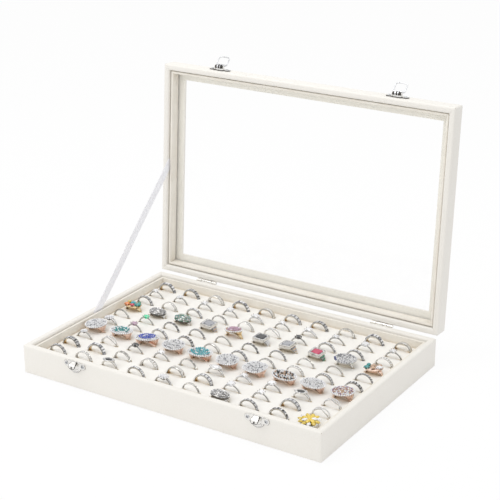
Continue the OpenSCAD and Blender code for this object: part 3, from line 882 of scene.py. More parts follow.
@dataclass
class Lining:
    """The flocked strips inside the walls of the tray and of the lid, mitred at the corners."""

    edge_r: float = 0.9
    sides: tuple[str, ...] = ("front", "right", "back", "left")
    parts: int = 30
    waver: float = 0.12

    def strip(self, side: int, node: str, name: str, lid: bool) -> None:
        """Build one strip where its node is, with a soft edge towards the rim.

        Args:
            side: 0 front, 1 right, 2 back, 3 left.
            node: The node that it stands for.
            name: The piece's name.
            lid: True for the lid's strips.
        """
        low, high = CASE.box(node, lid)
        length, across = (high - low)[side % 2], (high - low)[1 - side % 2]
        inner = abs((low[1], high[0], high[1], low[0])[side])
        rim, deep, up = (low[2], high[2], -1) if lid else (high[2], low[2], 1)
        # the strip's section, as (distance towards the middle of the case, height)
        soft = arc(self.edge_r, rim - up * self.edge_r, self.edge_r, 180, 180 - 90 * up, 5)
        section = [[0, deep], *soft, *([across - x, z] for x, z in soft[::-1]), [across, deep]]
        rows = []
        for share in np.linspace(-1, 1, self.parts + 1):
            row = []
            for inward, height in section:
                x = share * (length / 2 - inward)
                wave = self.waver * noise.noise(Vector((x / 40, height / 30, side * 7.0 + 3.0 * lid)))
                row.append([x, -inner + inward + wave * (1 - abs(share) ** 6), height])
            rows.append(row[::-1] if lid else row)
        form = Form()
        form.grid(moved(np.array(rows), placed((0, 0, 0), turned("Z", 90 * side))), caps=True)
        crisp(form.piece(name, [LINER_FLOCK], "lid" if lid else "tray", [node], lid), 50)

    def build(self) -> None:
        """Build the eight strips."""
        for lid in (False, True):
            body = "lid" if lid else "tray"
            for side, word in enumerate(self.sides):
                self.strip(side, f"{body}_{word}_liner", f"{body}_lining_{word}", lid)


# ---------- pad ----------


@dataclass
class SlitPad:
    """The flocked foam pad: its slits are pressed open where a ring's band goes in."""

    depth: float = 6.2
    closed_gap: float = 0.05
    band_spread: float = 1.5
    slit_end: float = 11.2
    edge_r: float = 1.8
    swell: float = 0.3
    # how far from its slit each lengthwise line lies, and how deep it is drawn down there
    lines: tuple[tuple[float, float], ...] = (
        (0.0, 1.0), (0.04, 0.9), (0.16, 0.1), (0.5, 0.02), (1.5, 0.0), (2.8, -0.02), (5.0, -0.02), (8.0, 0.0),
    )
    across: tuple[float, ...] = (0.0, 3.0, 6.0, 7.8, 8.8, 9.6, 10.4, 11.0, 11.6, 12.6, 14.2)

    def build(self, rings: "RingSet") -> None:
        """Build the pad round the slits of the rings.

        Args:
            rings: The rings, which say where the slits are and how wide their bands are.
        """
        low, high = CASE.box("ring_pad")
        columns = self.spread(rings.columns, self.across, low[0], high[0])
        rows = self.spread(rings.rows, [d for d, _ in self.lines], low[1], high[1])
        top = np.zeros((len(rows), len(columns), 3))
        for i, (y, row, line) in enumerate(rows):
            for j, (x, column, _) in enumerate(columns):
                top[i, j] = self.point(x, y, row, line, column, rings, high)
        edge = np.minimum.reduce([
            top[:, :, 0] - low[0], high[0] - top[:, :, 0], top[:, :, 1] - low[1], high[1] - top[:, :, 1],
        ]).clip(0, self.edge_r)
        top[:, :, 2] -= self.edge_r - np.sqrt(self.edge_r**2 - (self.edge_r - edge) ** 2)
        form = Form()
        form.grid(top, closed_cols=False)
        rim = np.concatenate([top[0, :-1], top[:-1, -1], top[-1, :0:-1], top[:0:-1, 0]])
        foot = rim.copy()
        foot[:, 2] = low[2]
        form.grid(np.stack([foot, rim]))
        form.add(foot, [tuple(range(len(foot)))[::-1]], smooth=False)
        pad = form.mesh("ring_pad_foam", [PAD_FLOCK])
        weld(pad)
        settle(pad, PAD_FLOCK, "tray", ["ring_pad"])

    @staticmethod
    def spread(middles: Sequence[float], steps: Sequence[float], low: float, high: float) -> list:
        """Place lines on both sides of each slit, out to halfway to the next.

        Args:
            middles: The slits' places.
            steps: The lines' distances from their slit.
            low: The pad's lower edge.
            high: The pad's upper edge.

        Returns:
            Each line's place, its slit's number and the signed number of its step.
        """
        half = (middles[1] - middles[0]) / 2
        found = [(low, 0, None), (high, len(middles) - 1, None)]
        for inset in (0.15, 0.5, 1.0, 1.8):
            found += [(low + inset, 0, None), (high - inset, len(middles) - 1, None)]
        for number, middle in enumerate(middles):
            for k, step in enumerate(steps):
                for sign in (-1, 1) if k else (1,):
                    place = middle + sign * step
                    if step < half - 0.4 and low + 2.2 < place < high - 2.2:
                        found.append((place, number, sign * k))
            if number:
                found.append((middle - half, number, None))
        return sorted(found, key=lambda entry: entry[0])

    def point(self, x: float, y: float, row: int, line: int | None, column: int, rings: "RingSet",
              high: np.ndarray) -> list[float]:
        """Work out one point of the pad's top.

        Args:
            x: Its place.
            y: Its place, before the slit is pressed open.
            row: The number of the nearest row of slits.
            line: The signed number of its lengthwise line, or None away from the slits.
            column: The number of the nearest slit in the row.
            rings: The rings.
            high: The pad's highest corner.

        Returns:
            The point.
        """
        rough = 0.10 * noise.noise(Vector((x, y, 0)) / 17) + 0.05 * noise.noise(Vector((x, y, 5)) / 5)
        z = high[2] - 0.1 + rough
        if line is None:
            return [x, y, min(z, high[2] + 0.05)]
        along = abs(x - rings.columns[column])
        inside = smooth_step((self.slit_end + 0.8 - along) / 1.6)
        reach, band = rings.slit(row, column)
        press = math.exp(-(((along - reach) / self.band_spread) ** 2))
        opening = self.closed_gap * inside + press * (band / 2 + 0.05)
        step, drawn = self.lines[abs(line)]
        share = math.exp(-step / 2.6) if line else 0.0
        z -= inside * drawn * self.depth - self.swell * press * math.exp(-(((step - 1.6) / 1.2) ** 2))
        return [x, y + math.copysign(opening * share, line) if line else y, z]


def smooth_step(value: float) -> float:
    """Ease a value between 0 and 1."""
    value = min(max(value, 0.0), 1.0)
    return value * value * (3 - 2 * value)


def weld(piece: Object, reach: float = 1e-6) -> None:
    """Join a piece's doubled points and turn its faces outwards.

    Args:
        piece: The piece.
        reach: How near two points are to be one, in metres.
    """
    work = bmesh.new()
    work.from_mesh(piece.data)
    bmesh.ops.remove_doubles(work, verts=work.verts, dist=reach)
    bmesh.ops.recalc_face_normals(work, faces=work.faces)
    work.to_mesh(piece.data)
    work.free()


# ---------- ribbon ----------


@dataclass
class RibbonStay:
    """The satin ribbon that holds the lid: it comes out of the slit inside each rim."""

    width: float = 10.0
    thick: float = 0.4
    tuck: float = 8.0
    place_y: float = -4.0
    bow: float = 0.5
    parts: int = 72
    strands: int = 10

    def build(self, case: Case) -> None:
        """Args:
            case: The case, for its rims.
        """
        low, high = CASE.box("stay_ribbon")
        x = (low[0] + high[0]) / 2
        start = np.array([x, self.place_y, case.tray_h])
        end = CASE.open(np.array([[x, self.place_y, case.lid_low]]))[0]
        run = np.linalg.norm(end - start)
        way = (end - start) / run
        side = np.cross([1.0, 0.0, 0.0], way)
        length = run + 2 * self.tuck
        rows, weave = [], []
        for i in range(self.parts + 1):
            along = -self.tuck + length * i / self.parts
            free = smooth_step(along / 20) * smooth_step((run - along) / 20)
            loop = []
            for face in (1, -1):
                for j in range(self.strands + 1)[::face]:
                    share = 2 * j / self.strands - 1
                    thick = self.thick * (0.5 + 0.1 * (abs(share) > 0.85))
                    curl = self.bow * free * (1 - share**2) * 0.5
                    wave = 0.25 * free * math.sin(along / 23)
                    loop.append(start + way * along + side * share * self.width / 2
                                + np.array([face * thick - curl + wave, 0, 0]))
                    weave.append((share * 0.5 + 0.5, along / self.width))
            rows.append(loop)
        form = Form()
        form.grid(np.array(rows), caps=True)
        ribbon = form.mesh("satin_ribbon_stay", [SATIN])
        layer = ribbon.data.uv_layers.new(name="weave")
        for loop in ribbon.data.loops:
            layer.data[loop.index].uv = weave[loop.vertex_index]
        weld(ribbon, 1e-7)
        crisp(ribbon, 50)
        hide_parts("stay_ribbon")
        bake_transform(ribbon)
        LOG.info("%s: %.1f mm long", ribbon.name, length)


# ---------- what repeats ----------


@dataclass
class Guides:
    """Places for copies: where each one goes, how it is turned, its size, its tint and its kind."""

    places: list[Point] = field(default_factory=list)
    turns: list[Point] = field(default_factory=list)
    sizes: list[Point] = field(default_factory=list)
    tints: list[Point] = field(default_factory=list)
    kinds: list[int] = field(default_factory=list)

    def add(self, place: np.ndarray, size: Point = (1, 1, 1), kind: int = 0,
            tint: Point = (1, 1, 1, 1), lid: bool = False) -> None:
        """Add one place.

        Args:
            place: The copy's 4x4 place, in millimetres.
            size: Its size along its own axes.
            kind: The number of the part that is copied.
            tint: Its linear colour.
            lid: True if the place is drawn on the shut lid.
        """
        whole = CASE.lid @ Matrix(place.tolist()) if lid else Matrix(place.tolist())
        self.places.append(tuple(whole.to_translation() * MM))
        self.turns.append(tuple(whole.to_euler()))
        self.sizes.append(tuple(size))
        self.tints.append(tuple(tint))
        self.kinds.append(kind)

    def points(self, name: str) -> Object:
        """Turn the places into an object of loose points that carry them as attributes.

        Args:
            name: The object's name.

        Returns:
            The object.
        """
        mesh = bpy.data.meshes.new(name)
        mesh.from_pydata(self.places, [], [])
        for label, kind, key, values in (
            ("turn", "FLOAT_VECTOR", "vector", self.turns), ("size", "FLOAT_VECTOR", "vector", self.sizes),
            ("tint", "FLOAT_COLOR", "color", self.tints), ("kind", "INT", "value", self.kinds),
        ):
            mesh.attributes.new(label, kind, "POINT").data.foreach_set(key, np.array(values).ravel())
        return linked(name, mesh)


class Setter:
    """Geometry Nodes that set copies of a few parts on guide points, each turned about its own axis."""

    def __init__(self, name: str, parts: Sequence[Object], spin: float = 0.0) -> None:
        """Build the tree.

        Args:
            name: The tree's name.
            parts: The parts that are copied, in the order of their numbers.
            spin: The most that a copy is turned about its own axis at random, in radians.
        """
        self.name, self.parts, self.spin = name, parts, spin
        self.tree = bpy.data.node_groups.new(name, "GeometryNodeTree")
        sockets = {"Guides": "Geometry", "Scale": "Float", "Spin": "Float", "Seed": "Int"}
        sockets |= {"Finish": "Material"} | {f"Part {k}": "Object" for k in range(len(parts))}
        new_socket = self.tree.interface.new_socket
        self.sockets = {label: new_socket(label, in_out="INPUT", socket_type="NodeSocket" + kind).identifier
                        for label, kind in sockets.items()}
        new_socket("Copies", in_out="OUTPUT", socket_type="NodeSocketGeometry")
        self.wire()

    def read(self, label: str, kind: str) -> NodeSocket:
        """Read an attribute of the guide points, of a given type."""
        return add(self.tree, "GeometryNodeInputNamedAttribute", {"Name": label}, data_type=kind).outputs[0]

    def wire(self) -> None:
        """Link the tree: each part on its own points, then all of them as one mesh."""
        tree = self.tree
        given = add(tree, "NodeGroupInput").outputs
        chance = add(tree, "FunctionNodeRandomValue", {2: -1.0, 3: 1.0, 8: given["Seed"]}, data_type="FLOAT")
        angle = maths(tree, "MULTIPLY", chance.outputs[1], given["Spin"])
        twist = add(tree, "FunctionNodeAxisAngleToRotation", {"Axis": (0, 0, 1), "Angle": angle}).outputs[0]
        stand = add(tree, "FunctionNodeEulerToRotation", {"Euler": self.read("turn", "FLOAT_VECTOR")})
        turn = add(tree, "FunctionNodeRotateRotation", {"Rotation": stand.outputs[0], "Rotate By": twist},
                   rotation_space="LOCAL")
        scale = {0: self.read("size", "FLOAT_VECTOR"), "Scale": given["Scale"]}
        size = add(tree, "ShaderNodeVectorMath", scale, operation="SCALE")
        kind = self.read("kind", "INT")
        together = add(tree, "GeometryNodeJoinGeometry")
        for k in range(len(self.parts)):
            part = add(tree, "GeometryNodeObjectInfo", {"Object": given[f"Part {k}"]})
            mine = add(tree, "FunctionNodeCompare", {2: kind, 3: k}, data_type="INT", operation="EQUAL")
            copies = add(tree, "GeometryNodeInstanceOnPoints", {
                "Points": given["Guides"], "Selection": mine.outputs[0], "Instance": part.outputs["Geometry"],
                "Rotation": turn.outputs[0], "Scale": size.outputs[0],
            })
            tree.links.new(copies.outputs[0], together.inputs[0])
        plain = add(tree, "GeometryNodeRealizeInstances", {"Geometry": together.outputs[0]}).outputs[0]
        dressed = add(tree, "GeometryNodeSetMaterial", {"Geometry": plain, "Material": given["Finish"]})
        add(tree, "NodeGroupOutput", {0: dressed.outputs[0]})

    def copies(self, guides: Guides, name: str, finish: Finish, seed: int = 1) -> Object:
        """Set the parts on their guides and turn the result into a plain mesh.

        Args:
            guides: The places.
            name: The new object's name.
            finish: Its finish.
            seed: The seed of the random turns.

        Returns:
            The object.
        """
        guide = guides.points(name + "_guides")
        modifier = guide.modifiers.new("set", "NODES")
        modifier.node_group = self.tree
        values = {"Scale": 1.0, "Spin": self.spin, "Seed": seed, "Finish": finish.make()}
        values |= {f"Part {k}": part for k, part in enumerate(self.parts)}
        for label, value in values.items():
            modifier[self.sockets[label]] = value
        bpy.context.view_layer.update()
        graph = bpy.context.evaluated_depsgraph_get()
        mesh = bpy.data.meshes.new_from_object(guide.evaluated_get(graph))
        mesh.name = name
        bpy.data.objects.remove(guide)
        return linked(name, mesh)

    def clear(self) -> None:
        """Remove the parts that were copied, and the tree."""
        for part in self.parts:
            bpy.data.objects.remove(part)
        bpy.data.node_groups.remove(self.tree)


# ---------- hardware ----------


def exit_circle(x: float, y: float, radius: float) -> Reach:
    """Say how far a ray from the origin stays within a circle.

    Args:
        x: The circle's centre.
        y: The circle's centre.
        radius: Its radius.

    Returns:
        A function of the ray's angle, which gives 0 where the ray misses.
    """
    def reach(angle: float) -> float:
        """Measure one ray."""
        ahead = x * math.cos(angle) + y * math.sin(angle)
        room = radius**2 - x * x - y * y + ahead**2
        return max(ahead + math.sqrt(room), 0.0) if room > 0 else 0.0

    return reach


def exit_box(right: float, up: float, down: float) -> Reach:
    """Say how far a ray from the origin stays within a box.

    Args:
        right: The box's reach to either side.
        up: Its reach upwards.
        down: Its reach downwards.

    Returns:
        A function of the ray's angle.
    """
    def reach(angle: float) -> float:
        """Measure one ray."""
        c, s = abs(math.cos(angle)), math.sin(angle)
        return min(right / max(c, 1e-9), (up if s > 0 else down) / max(abs(s), 1e-9))

    return reach


def stamped(form: Form, shapes: Sequence[Reach], relief: Callable[[float, float], float], place: np.ndarray,
            marks: Sequence[int], rings: int, spokes: int, bevel: float = 0.35) -> None:
    """Add a stamped plate: the joined outline of a few shapes, with a relief on its face.

    Args:
        form: What it is added to.
        shapes: How far each shape reaches at an angle.
        relief: The height of the face at x, y.
        place: Where the plate goes.
        marks: The finishes of its edge, from its back to its face.
        rings: The number of rings of points on the face.
        spokes: The number of points round it.
        bevel: The rounding of its edge.
    """
    merge = 14
    turns = np.arange(spokes) * 2 * math.pi / spokes
    reach = np.array([sum(shape(t) ** merge for shape in shapes) ** (1 / merge) for t in turns])
    ways = np.stack([np.cos(turns), np.sin(turns)], 1)
    rows = [np.column_stack([ways * reach[:, None], np.zeros(spokes)])]
    # each loop of points: its share of the outline, how far it is drawn in, and its depth under the face
    loops = [(1.0, 0.0, bevel), (1.0, bevel * 0.3, bevel * 0.3)]
    loops += [(1 - i / rings, bevel, 0.0) for i in range(rings)] + [(0.004, 0.0, 0.0)]
    for share, inset, drop in loops:
        flat = ways * (np.maximum(reach - inset, 0.05) * share)[:, None]
        rows.append(np.column_stack([flat, [relief(x, y) - drop for x, y in flat]]))
    finish = np.repeat([*marks, *[0] * (len(rows) - 1 - len(marks))], spokes)
    form.grid(moved(np.array(rows), place), caps=True, finish=finish)


@dataclass
class Screws:
    """Pan head screws with a cross recess, set on all plates and leaves."""

    radius: float = 1.8
    height: float = 0.8
    slot: float = 0.24
    reach: float = 1.15
    deep: float = 0.4

    def head(self) -> Object:
        """Build one head, standing on z = 0.

        Returns:
            The head.
        """
        def relief(x: float, y: float) -> float:
            """Give the height of the head's top, which is lower in the cross."""
            dome = self.height * (1 - 0.45 * ((x * x + y * y) / self.radius**2) ** 1.4)
            cut = min(abs(x), abs(y)) < self.slot and max(abs(x), abs(y)) < self.reach
            return dome - (self.deep if cut else 0.0)

        form = Form()
        stamped(form, [exit_circle(0, 0, self.radius)], relief, np.eye(4), (0, 0, 0), 12, 48, bevel=0.15)
        return form.mesh("screw_head", [CHROME])

    def build(self, hardware: "Hardware") -> None:
        """Set the four kinds of screws.

        Args:
            hardware: The plates and leaves that they hold.
        """
        setter = Setter("set screws", [self.head()], spin=math.pi)
        for seed, (name, spots) in enumerate(hardware.screw_spots().items()):
            body = "tray" if name in ("catch_screws", "hinge_screws_lower") else "lid"
            guides = Guides()
            for place in spots:
                guides.add(place, lid=body == "lid")
            made = setter.copies(guides, name + "_heads", CHROME, seed + 3)
            weld(made)
            settle(crisp(made, 35), CHROME, body, [name])
        setter.clear()


@dataclass
class Hardware:
    """Nickel-plated latches, catches and hinges, in millimetres, on the shut case."""

    plate_t: float = 0.8
    catch_ear_x: float = 10.0
    catch_ear_r: float = 3.5
    belly_r: float = 8.6
    belly_top: float = 4.0
    tongue_w: float = 8.4
    tongue_r: float = 1.75
    tongue_tip: float = 2.2
    tongue_mid: float = 0.4
    loop_play: float = 0.25
    latch_ear_x: float = 9.3
    latch_ear_r: float = 3.4
    lug_x: float = 5.0
    lug_t: float = 0.6
    lug_r: float = 1.4
    lever_w: float = 9.6
    roll_r: float = 2.6
    sheet_t: float = 0.55
    pin_r: float = 0.6
    wire_r: float = 0.6
    loop_len: float = 9.8
    loop_lean: float = 50.0
    loop_arch: float = 0.6
    knuckle_r: float = 1.5
    hinge_len: float = 26.0
    leaf_t: float = 0.7
    leaf_h: float = 12.5
    knuckle_gap: float = 0.3

    def __post_init__(self) -> None:
        """Take the places of the plates and the pivots from the frame."""
        back = CASE.lid.inverted()
        joints = {j["name"]: j for j in frame["joints"]}
        lever, loop = joints["latch_right_lever"], joints["latch_right_loop"]
        self.lever, self.loop = (back @ (Vector(joint["pos_m"]) / MM) for joint in (lever, loop))
        swing = lever["range_deg"][1]
        self.latch_x = self.lever.x
        self.throw = (self.loop - self.lever).length
        self.locked = self.lever + Matrix.Rotation(math.radians(swing), 3, "X") @ (self.loop - self.lever)
        low, high = CASE.box("catch_plate_right")
        self.front, self.catch_z = high[1], low[2] + self.belly_r
        low, high = CASE.box("latch_plate_right", lid=True)
        self.latch_z = (low[2] + high[2]) / 2
        low, high = CASE.box("hinge_leaf_lower_right")
        self.hinge_x, self.back = (low[0] + high[0]) / 2, low[1]
        self.hinge_y, self.hinge_z = CASE.hinge.y, CASE.hinge.z

    def screw_spots(self) -> dict[str, list[np.ndarray]]:
        """List the places of each node's screws.

        Returns:
            The 4x4 places of the screws, by node.
        """
        front = (self.front - self.plate_t, FACING_FRONT)
        back = (self.back + self.leaf_t, FACING_BACK)
        away, rise = self.hinge_len * 0.3, self.leaf_h * 0.62
        rows = (("catch_screws", self.latch_x, self.catch_ear_x, self.catch_z, *front),
                ("latch_screws", self.latch_x, self.latch_ear_x, self.latch_z, *front),
                ("hinge_screws_lower", self.hinge_x, away, self.hinge_z - rise, *back),
                ("hinge_screws_upper", self.hinge_x, away, self.hinge_z + rise, *back))
        return {name: [placed((x * middle + e * reach, y, z), turn) for x in (-1, 1) for e in (-1, 1)]
                for name, middle, reach, z, y, turn in rows}

    def catch(self, x: float, name: str) -> None:
        """Build one catch: an eye-shaped plate with stamped arcs, and the tongue for the loop.

        Args:
            x: The catch's middle.
            name: The node that it stands for.
        """
        def dome(r: float) -> float:
            """Give the height of the face at a distance from its middle."""
            return self.plate_t + 0.42 * smooth_step((self.belly_r - 0.6 - r) / 2.4)

        def relief(u: float, v: float) -> float:
            """Add the stamped arcs to the dome."""
            r = math.hypot(u, v)
            fade = smooth_step((r - 4.2) / 0.5) * smooth_step((7.9 - r) / 0.5)
            return dome(r) + 0.05 * math.sin(r * 2 * math.pi / 2.4) * fade * (abs(u) < 8)

        def belly(angle: float) -> float:
            """Give the reach of the round middle, which is cut off at its top."""
            rise = math.sin(angle)
            return min(self.belly_r, self.belly_top / rise) if rise > 0 else self.belly_r

        form = Form()
        place = placed((x, self.front, self.catch_z), FACING_FRONT)
        shapes = [exit_circle(e * self.catch_ear_x, 0, self.catch_ear_r) for e in (-1, 1)]
        shapes += [belly, exit_box(self.catch_ear_x, self.catch_ear_r * 0.6, self.catch_ear_r * 0.7)]
        # the rounded edge of the face and the stamped arcs are painted dark: painted shade and dark
        # reflections
        stamped(form, shapes, relief, place, (0, 0, 1), 26, 120)
        for radius, spread in ((5.4, 62), (7.4, 46)):
            bow = arc(0, 0, radius, -90 - spread, -90 + spread, 14)
            path = np.array([[*spot, dome(radius)] for spot in bow])
            form.tube(moved(path, place), 0.13, sides=6, finish=1)
        self.tongue(form, x)
        crisp(form.piece(name + "_stamped", [NICKEL, PAINTED_DARK_STEEL], "tray", [name]), 40)

    def tongue(self, form: Form, x: float) -> None:
        """Add the catch's tongue: a strap that leans out of the plate and bends down over the loop.

        Args:
            form: What it is added to.
            x: The catch's middle.
        """
        face = self.front - self.plate_t
        out = face - self.locked.y
        up = self.locked.z - self.loop_len + self.wire_r + self.loop_play - self.tongue_r - self.catch_z
        outer, tip = self.tongue_r + self.plate_t, up - self.tongue_tip
        shell = [[0.0, up + outer + 1.9], *arc(out, up, outer, 75, 0, 12), [out + outer, tip + 0.7],
                 [out + outer, tip]]
        inner = [[out + self.tongue_r, tip], *arc(out, up, self.tongue_r, 0, 75, 12), [0.0, up + outer + 0.8]]
        rows = []
        for away, height in shell + inner:
            half = math.sqrt(max((self.tongue_w / 2) ** 2 - (height - self.tongue_mid) ** 2, 1.0))
            rows.append([[x + half * s, face - away, self.catch_z + height]
                         for s in (-1, -0.88, -0.5, 0, 0.5, 0.88, 1)])
        grid = np.array(rows)
        # the tongue's sides, its tip, its end faces and the ring in its middle are painted dark: painted
        # shade and dark reflections
        marks = np.tile([1, 0, 0, 0, 0, 1], (len(rows), 1))
        marks[len(shell) - 2:len(shell)] = 1
        form.grid(grid, closed_rows=True, closed_cols=False, finish=marks.ravel())
        middle = placed((x, face - out - outer, self.catch_z + up - 0.5), FACING_FRONT)
        dot = np.column_stack([circle(0.6, 12), np.zeros(12)])
        form.tube(moved(dot, middle), 0.35, sides=6, closed=True, finish=1)
        form.add(grid[:, 0], [tuple(range(len(rows)))], finish=1)
        form.add(grid[:, -1], [tuple(range(len(rows)))[::-1]], finish=1)

    def latch_plate(self, x: float, name: str) -> None:
        """Build one latch plate: two ears, and lugs that carry the lever's pin.

        Args:
            x: The plate's middle.
            name: The node that it stands for.
        """
        def relief(u: float, v: float) -> float:
            """Give the height of the face, which is lower round the screws."""
            rim = smooth_step((math.hypot(abs(u) - self.latch_ear_x, v) - 2.4) / 0.5)
            return self.plate_t + 0.12 * rim * (abs(u) > 5)

        half, waist = self.latch_ear_r * 1.3, self.latch_ear_r * 0.76
        shapes = [exit_circle(e * self.latch_ear_x, 0, self.latch_ear_r) for e in (-1, 1)]
        shapes += [exit_box(self.lug_x + self.lug_t, half, half), exit_box(self.latch_ear_x, waist, waist)]
        form = Form()
        # the plate's whole edge is painted dark: painted shade outlining it
        stamped(form, shapes, relief, placed((x, self.front, self.latch_z), FACING_FRONT), (1, 1, 1), 18, 120)
        out, r = self.front - self.lever.y, self.lug_r
        lug = [[0.0, -r], *arc(out, 0, r, -90, 90, 14), [0.0, r]]
        section = (np.array(lug) * [-1, 1])[::-1]
        for s in (-1, 1):
            x0 = s * (self.lug_x + self.lug_t / 2) - self.lug_t / 2
            form.run(section, x0, x0 + self.lug_t, placed((x, self.front, self.lever.z)), bevel=0.12)
        crisp(form.piece(name + "_stamped", [NICKEL, PAINTED_DARK_STEEL], "lid", [name], lid=True), 40)

    def lever_roll(self, x: float, name: str, body: str) -> None:
        """Build one lever: a sheet rolled into a spiral round its pin, with an eye for the loop.

        Args:
            x: The lever's middle.
            name: The node that it stands for.
            body: The body that it rides on.
        """
        tube_r, turns, steps = self.pin_r + 0.7, 1.35, 72
        radius = np.linspace(self.roll_r, tube_r + 0.1, steps)[:, None]
        angle = np.radians(100 + 360 * turns * np.linspace(0, 1, steps))
        ways = np.stack([np.cos(angle), np.sin(angle)], 1)
        section = np.concatenate([radius * ways, ((radius - self.sheet_t) * ways)[::-1]])
        count, half, thin = 2 * steps, self.lever_w / 2, self.sheet_t / 2
        place = placed((x, self.lever.y, self.lever.z))
        form = Form()
        # the ends and end faces of each rolled span, the barrel round the pin and the eye are painted dark:
        # painted shade in the gaps and dark reflections
        for start, stop in ((-0.5, -0.1), (0.2, 0.46)):
            rows = moved(np.array([np.column_stack([np.full(count, s * half), section])
                                   for s in (start, start + 0.03, stop - 0.03, stop)]), place)
            form.grid(rows, finish=np.repeat([1, 0, 1], count))
            for end, order in ((0, -1), (3, 1)):
                ribbon = [(i, i + 1, count - 2 - i, count - 1 - i)[::order] for i in range(steps - 1)]
                form.add(rows[end], ribbon, finish=1, smooth=False)
        form.run(circle(tube_r + 0.5), -half, half, place, finish=1, bevel=0.12)
        form.run(circle(self.wire_r + 0.6), -half, half, placed((x, self.loop.y, self.loop.z)), bevel=0.12)
        low, high = self.roll_r - self.sheet_t, self.throw - self.wire_r
        strap = np.array([[-thin, low], [thin, low], [thin, high], [-thin, high]])
        lean = self.loop - self.lever
        turn = Matrix.Rotation(math.atan2(-lean.y, lean.z), 4, "X")
        form.run(strap, -half, half, place @ np.array(turn), bevel=0.05)
        crisp(form.piece(name + "_roll", [CHROME, PAINTED_DARK_STEEL], body, [name], lid=True), 35)

    def wire_loop(self, x: float, name: str, body: str) -> None:
        """Build one wire loop: two legs, an arched crossbar and ends turned in to the lever's eye.

        Args:
            x: The loop's middle.
            name: The node that it stands for.
            body: The body that it rides on.
        """
        half, bend, turn_in, long = self.lever_w / 2 + 1.7, 2.0, 0.9, self.loop_len
        side = [[half - 4.2, 0], [half - turn_in, 0], *arc(half - turn_in, turn_in, turn_in, -90, 0, 6),
                [half, long * 0.5], *arc(half - bend, long - bend, bend, 0, 90, 8)]
        right = densify(np.array(side), 1.0)
        bar = [[u, long] for u in np.linspace(half - bend, -(half - bend), 12)[1:-1]]
        u, v = np.concatenate([right, bar, (right * [-1, 1])[::-1]]).T
        arch = self.loop_arch * np.maximum(np.cos(u / half * math.pi / 2), 0) * (v > long * 0.6)
        place = placed((x, self.loop.y, self.loop.z), turned("X", self.loop_lean))
        form = Form()
        form.tube(moved(np.column_stack([u, np.zeros(len(u)), v + arch]), place), self.wire_r, sides=14)
        crisp(form.piece(name + "_wire", [CHROME], body, [name], lid=True), 50)

    def pins(self) -> None:
        """Build the pins of the levers and of the hinges, with domed ends."""
        lever, hinge = Form(), Form()
        half = self.lug_x + self.lug_t + 0.1
        for x in (-1, 1):
            spots = ((lever, half, self.pin_r, (x * self.latch_x, self.lever.y, self.lever.z)),
                     (hinge, self.hinge_len / 2, 0.75, (x * self.hinge_x, self.hinge_y, self.hinge_z)))
            for form, reach, radius, spot in spots:
                form.run(circle(radius), -reach, reach, placed(spot), bevel=radius * 0.4)
        crisp(lever.piece("lever_pin_rods", [NICKEL], "lid", ["lever_pins"], lid=True))
        crisp(hinge.piece("hinge_pin_rods", [NICKEL], "tray", ["hinge_pins"]))

    def leaf(self, x: float, up: int, name: str, body: str) -> None:
        """Build one hinge leaf with its knuckles.

        Args:
            x: The hinge's middle.
            up: 1 for the leaf on the lid, -1 for the one on the tray.
            name: The node that it stands for.
            body: The body that it rides on.
        """
        form = Form()
        half, quarter, gap = self.hinge_len / 2, self.hinge_len / 4, self.knuckle_gap / 2
        off = self.knuckle_r + 0.3
        tall = self.leaf_h - off
        levels = [(0.15, 0.0), (0, 0.15), (0, self.leaf_t - 0.2), (0.2, self.leaf_t)]
        middle = placed((x, self.back, self.hinge_z + up * (off + tall / 2)), FACING_BACK)
        form.stack(round_box(self.hinge_len, tall, 1.2), levels, middle)
        outer_spans = [(-half, -quarter - gap), (quarter + gap, half)]
        spans = [(-quarter + gap, quarter - gap)] if up > 0 else outer_spans
        foot, high = self.back - self.hinge_y, up * (off + 0.4)
        hook = [[foot, 0.0], [foot + self.leaf_t, 0.0], [foot + self.leaf_t, high], [foot, high]][::up]
        place = placed((x, self.hinge_y, self.hinge_z))
        for x0, x1 in spans:
            form.run(circle(self.knuckle_r, 30), x0, x1, place, bevel=0.18)
            form.run(np.array(hook), x0, x1, place, bevel=0.05)
        crisp(form.piece(name + "_rolled", [NICKEL], body, [name], lid=up > 0), 40)

    def build(self) -> None:
        """Build all the hardware."""
        for side, sign in (("left", -1), ("right", 1)):
            x = sign * self.latch_x
            self.catch(x, f"catch_plate_{side}")
            self.latch_plate(x, f"latch_plate_{side}")
            self.lever_roll(x, f"latch_lever_{side}", f"lever_{side}")
            self.wire_loop(x, f"latch_loop_{side}", f"loop_{side}")
            self.leaf(sign * self.hinge_x, -1, f"hinge_leaf_lower_{side}", "tray")
            self.leaf(sign * self.hinge_x, 1, f"hinge_leaf_upper_{side}", "lid")
        self.pins()
        Screws().build(self)


# ---------- rings ----------


class Tint(Enum):
    """Colours of the stones."""

    CLEAR = "#FBFBFD"
    SMOKE = "#A3A4AA"
    JET = "#17171B"
    NAVY = "#22307A"
    ROYAL = "#3450C4"
    TEAL = "#149A98"
    AQUA = "#3CB7C2"
    MINT = "#4BE0A4"
    GREEN = "#1E8A62"
    RED = "#E0304C"
    CRIMSON = "#D8285F"
    LILAC = "#CBA6BE"
    PURPLE = "#7A2E70"
    YELLOW = "#F2D24C"
    ORANGE = "#EE8A3C"
    CHAMPAGNE = "#D2AE90"


class Cut(IntEnum):
    """Cuts of stone, in the order of the parts that the setter copies."""

    BRILLIANT = 0
    STEP = 1
    MARQUISE = 2
    PEAR = 3
    GRAIN = 4


class Alloy(IntEnum):
    """Metals of the rings, in the order of their finishes."""

    SILVER = 0
    GOLD = 1
    ROSE = 2
    OXIDE = 3


class Shank(Enum):
    """Ways to make a band."""

    COURT = "court"
    CHANNEL = "channel"
    RIBBED = "ribbed"
    PAVE = "pave"
    ROPE = "rope"
    LATTICE = "lattice"
    SPLIT = "split"
    CROSS = "cross"
    WAVE = "wave"


